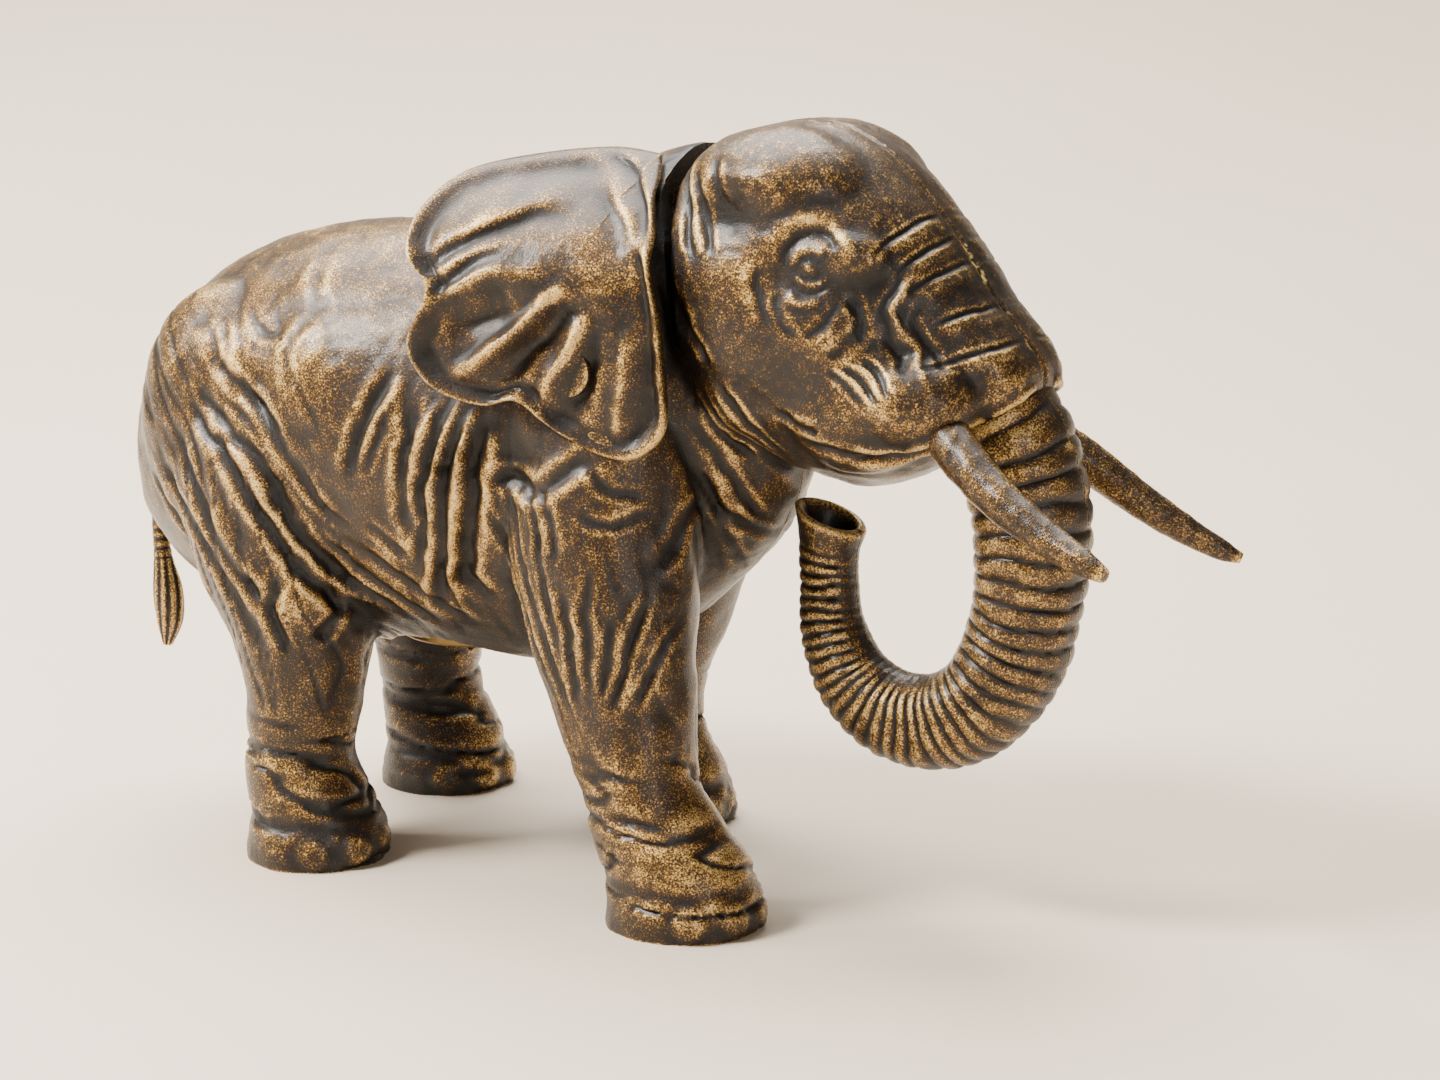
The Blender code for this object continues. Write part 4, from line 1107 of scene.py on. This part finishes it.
def plain_metal(name, dark, light, metallic, rough):
    s = Shader(name)
    where = s.node("TexCoord").outputs["Object"]
    grain = s.noise(where, 900.0, 3.0, 0.6)
    wear = s.noise(where, 120.0, 2.0, 0.5)
    tone = s.math("MULTIPLY_ADD", wear, 0.7, s.math("MULTIPLY", grain, 0.3))
    colour = s.ramp(tone, ((0.25, dark), (0.75, light)))
    bump = s.node("Bump", {"Strength": 0.2, "Distance": 0.0001, "Height": grain}).outputs[0]
    roughness = s.math("MULTIPLY_ADD", wear, 0.25, rough - 0.1)
    inputs = {"Base Color": colour, "Metallic": metallic, "Roughness": roughness, "Normal": bump}
    return s.painted(inputs)


bronze = patina("antique_bronze")
PAINTS = {
    "plain_steel": plain_metal("plain_steel", (0.32, 0.32, 0.31), (0.55, 0.54, 0.52), 1.0, 0.38),
    "blackened_steel": plain_metal("blackened_steel", (0.03, 0.028, 0.026), (0.10, 0.09, 0.08), 0.8, 0.45),
    "brass": plain_metal("dull_brass", (0.12, 0.075, 0.025), (0.26, 0.17, 0.06), 1.0, 0.42),
    "fibre": plain_metal("red_fibre", (0.16, 0.03, 0.02), (0.30, 0.07, 0.04), 0.0, 0.75),
}

# ---- Build ----

form = make_form()
skin = Skin(form.data)
large_forms(skin)
split_fine(form.data, lambda p: (p[:, 0] > 46) & (p[:, 2] > 84) & (p[:, 2] - 84 > (56 - p[:, 0]) * 1.2))
skin = Skin(form.data)
flank_folds(skin)
leg_strokes(skin)
head_strokes(skin)
lip_edge(skin)
fine_skin(skin)
toes(skin)
skin.settle()
seat = linked("ear_seat", form.data.copy())
boolean(form, mesh_object("trunk", *trunk_mesh()), "UNION")
boolean(form, block("ground", (-130, -80, -20), (160, 80, 0.0)))
boolean(form, make_core())
boolean(form, block("slot", (SLOT_X[0], -15, 108), (SLOT_X[1], 15, 150)))
for side in (-1, 1):
    boolean(form, slit_blade(skin, side))
boolean(form, upright_rod("recess", 46.5, 18.9))
boolean(form, upright_rod("trap_hole", 60, 15.6))
boolean(form, upright_rod("trap_room", 58, 18.0, bottom=50.5))
for x, z in SCREW_PLACES.values():
    boolean(form, rod("screw_hole", (x, -9, z), (x, 70, z), 2.3))
for name, (x, z) in DOWELS.items():
    boolean(form, rod(f"{name}_dowel_hole", (x, -5.3, z), (x, 5.3, z), 1.8, 24))
boolean(form, mesh_object("tail_socket", *tube(round_rings(TAIL[:3], 8, 0.6, 28, 0.35)[1])))
for name, side in (("right", -1), ("left", 1)):
    cutters = []
    if side > 0:
        for place, (x, z) in SCREW_PLACES.items():
            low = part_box(f"{place}_screw_washer")[0][1] / MM - 0.3
            cutters.append(rod("counterbore", (x, low, z), (x, 70, z), 5.0, 64))
    obj = half(f"{name}_casting_fine", form, side, cutters)
    for cutter in cutters:
        bpy.data.objects.remove(cutter)
    finish_piece(obj, f"{name}_half", f"{name}_casting")
    ear = make_ear(f"{name}_ear_fine", side, seat)
    finish_piece(ear, f"{name}_half", f"{name}_ear", times=110)
for name, keys in TUSKS.items():
    tusk = mesh_object(f"{name}_fine", *tusk_mesh(keys))
    finish_piece(tusk, name.replace("tusk", "half"), name)
tail = mesh_object("tail_fine", *tail_mesh())
finish_piece(tail, "right_half", "tail")
bpy.data.objects.remove(form)
bpy.data.objects.remove(seat)

# The pieces kept from the CAD model take a paint for the material in their record.
replaced = {f"{s}_{k}" for s in ("right", "left") for k in ("casting", "ear", "tusk")} | {"tail"}
slots = {row["node"]: row["material_slot"] for row in frame["record"]["subparts"]}
for name, node in frame["nodes"].items():
    if name not in replaced:
        node.data.materials.clear()
        node.data.materials.append(PAINTS[slots[name]])

# ---- Floor, lights and camera, in metres ----

BANK_MIDDLE = (0.0, 0.0, 0.07)


def backdrop():
    """A pale card that runs flat under the bank and bends up behind it."""
    across, bend = np.linspace(-4.0, 4.0, 3), 2.6
    profile = [(-1.5, 0.0), (-0.5, 0.0), (0.2, 0.0)]
    for a in np.linspace(0.02, math.pi / 2, 48):
        profile.append((0.3 + bend * math.sin(a), bend - bend * math.cos(a)))
    profile.append((2.9, 4.0))
    points = [(x, y, z) for y, z in profile for x in across]
    faces = []
    for i in range(len(profile) - 1):
        for k in range(2):
            a = i * 3 + k
            faces.append((a, a + 1, a + 4, a + 3))
    obj = mesh_object("backdrop", points, faces)
    obj.rotation_euler = (0.0, 0.0, VIEW_TURN)
    obj.data.shade_smooth()
    s = Shader("backdrop_card")
    where = s.node("TexCoord").outputs["Object"]
    tone = s.noise(where, 3.0, 2.0, 0.5)
    colour = s.ramp(tone, ((0.2, (0.64, 0.545, 0.43)), (0.8, (0.70, 0.60, 0.48))))
    obj.data.materials.append(s.painted({"Base Color": colour, "Roughness": 0.75}))
    return obj


def area(name, place, size, power, colour):
    """A rectangular lamp that faces the bank."""
    light = bpy.data.lights.new(name, "AREA")
    light.shape = "RECTANGLE"
    light.size, light.size_y = size
    light.energy = power
    light.color = colour
    obj = linked(name, light)
    obj.location = place
    obj.rotation_euler = (Vector(BANK_MIDDLE) - Vector(place)).to_track_quat("-Z", "Y").to_euler()


backdrop()
area("key", (-0.6, -0.6, 1.0), (0.34, 0.3), 36.0, (1.0, 0.95, 0.89))
area("top", (-0.4, 0.35, 1.15), (1.2, 1.0), 56.0, (1.0, 0.96, 0.91))
area("strip", (-0.85, -0.45, 0.6), (0.14, 0.5), 7.0, (1.0, 0.98, 0.95))
area("fill", (0.95, -0.7, 0.35), (0.6, 0.6), 4.0, (1.0, 0.98, 0.95))
world = bpy.data.worlds.new("studio")
world.use_nodes = True
world.node_tree.nodes["Background"].inputs[0].default_value = (0.86, 0.79, 0.71, 1.0)
world.node_tree.nodes["Background"].inputs[1].default_value = 0.16
bpy.context.scene.world = world

camera = bpy.data.cameras.new("camera")
camera.lens = 85.0
camera.sensor_width = 36.0
camera.clip_start = 0.01
pitch, away = math.radians(12.2), 0.6379
level = math.cos(pitch)
forward = Vector((-math.sin(VIEW_TURN) * level, math.cos(VIEW_TURN) * level, -math.sin(pitch)))
obj = linked("camera", camera)
obj.location = Vector((0.022, 0.0, 0.0653)) - forward * away
obj.rotation_euler = forward.to_track_quat("-Z", "Y").to_euler()
bpy.context.scene.camera = obj
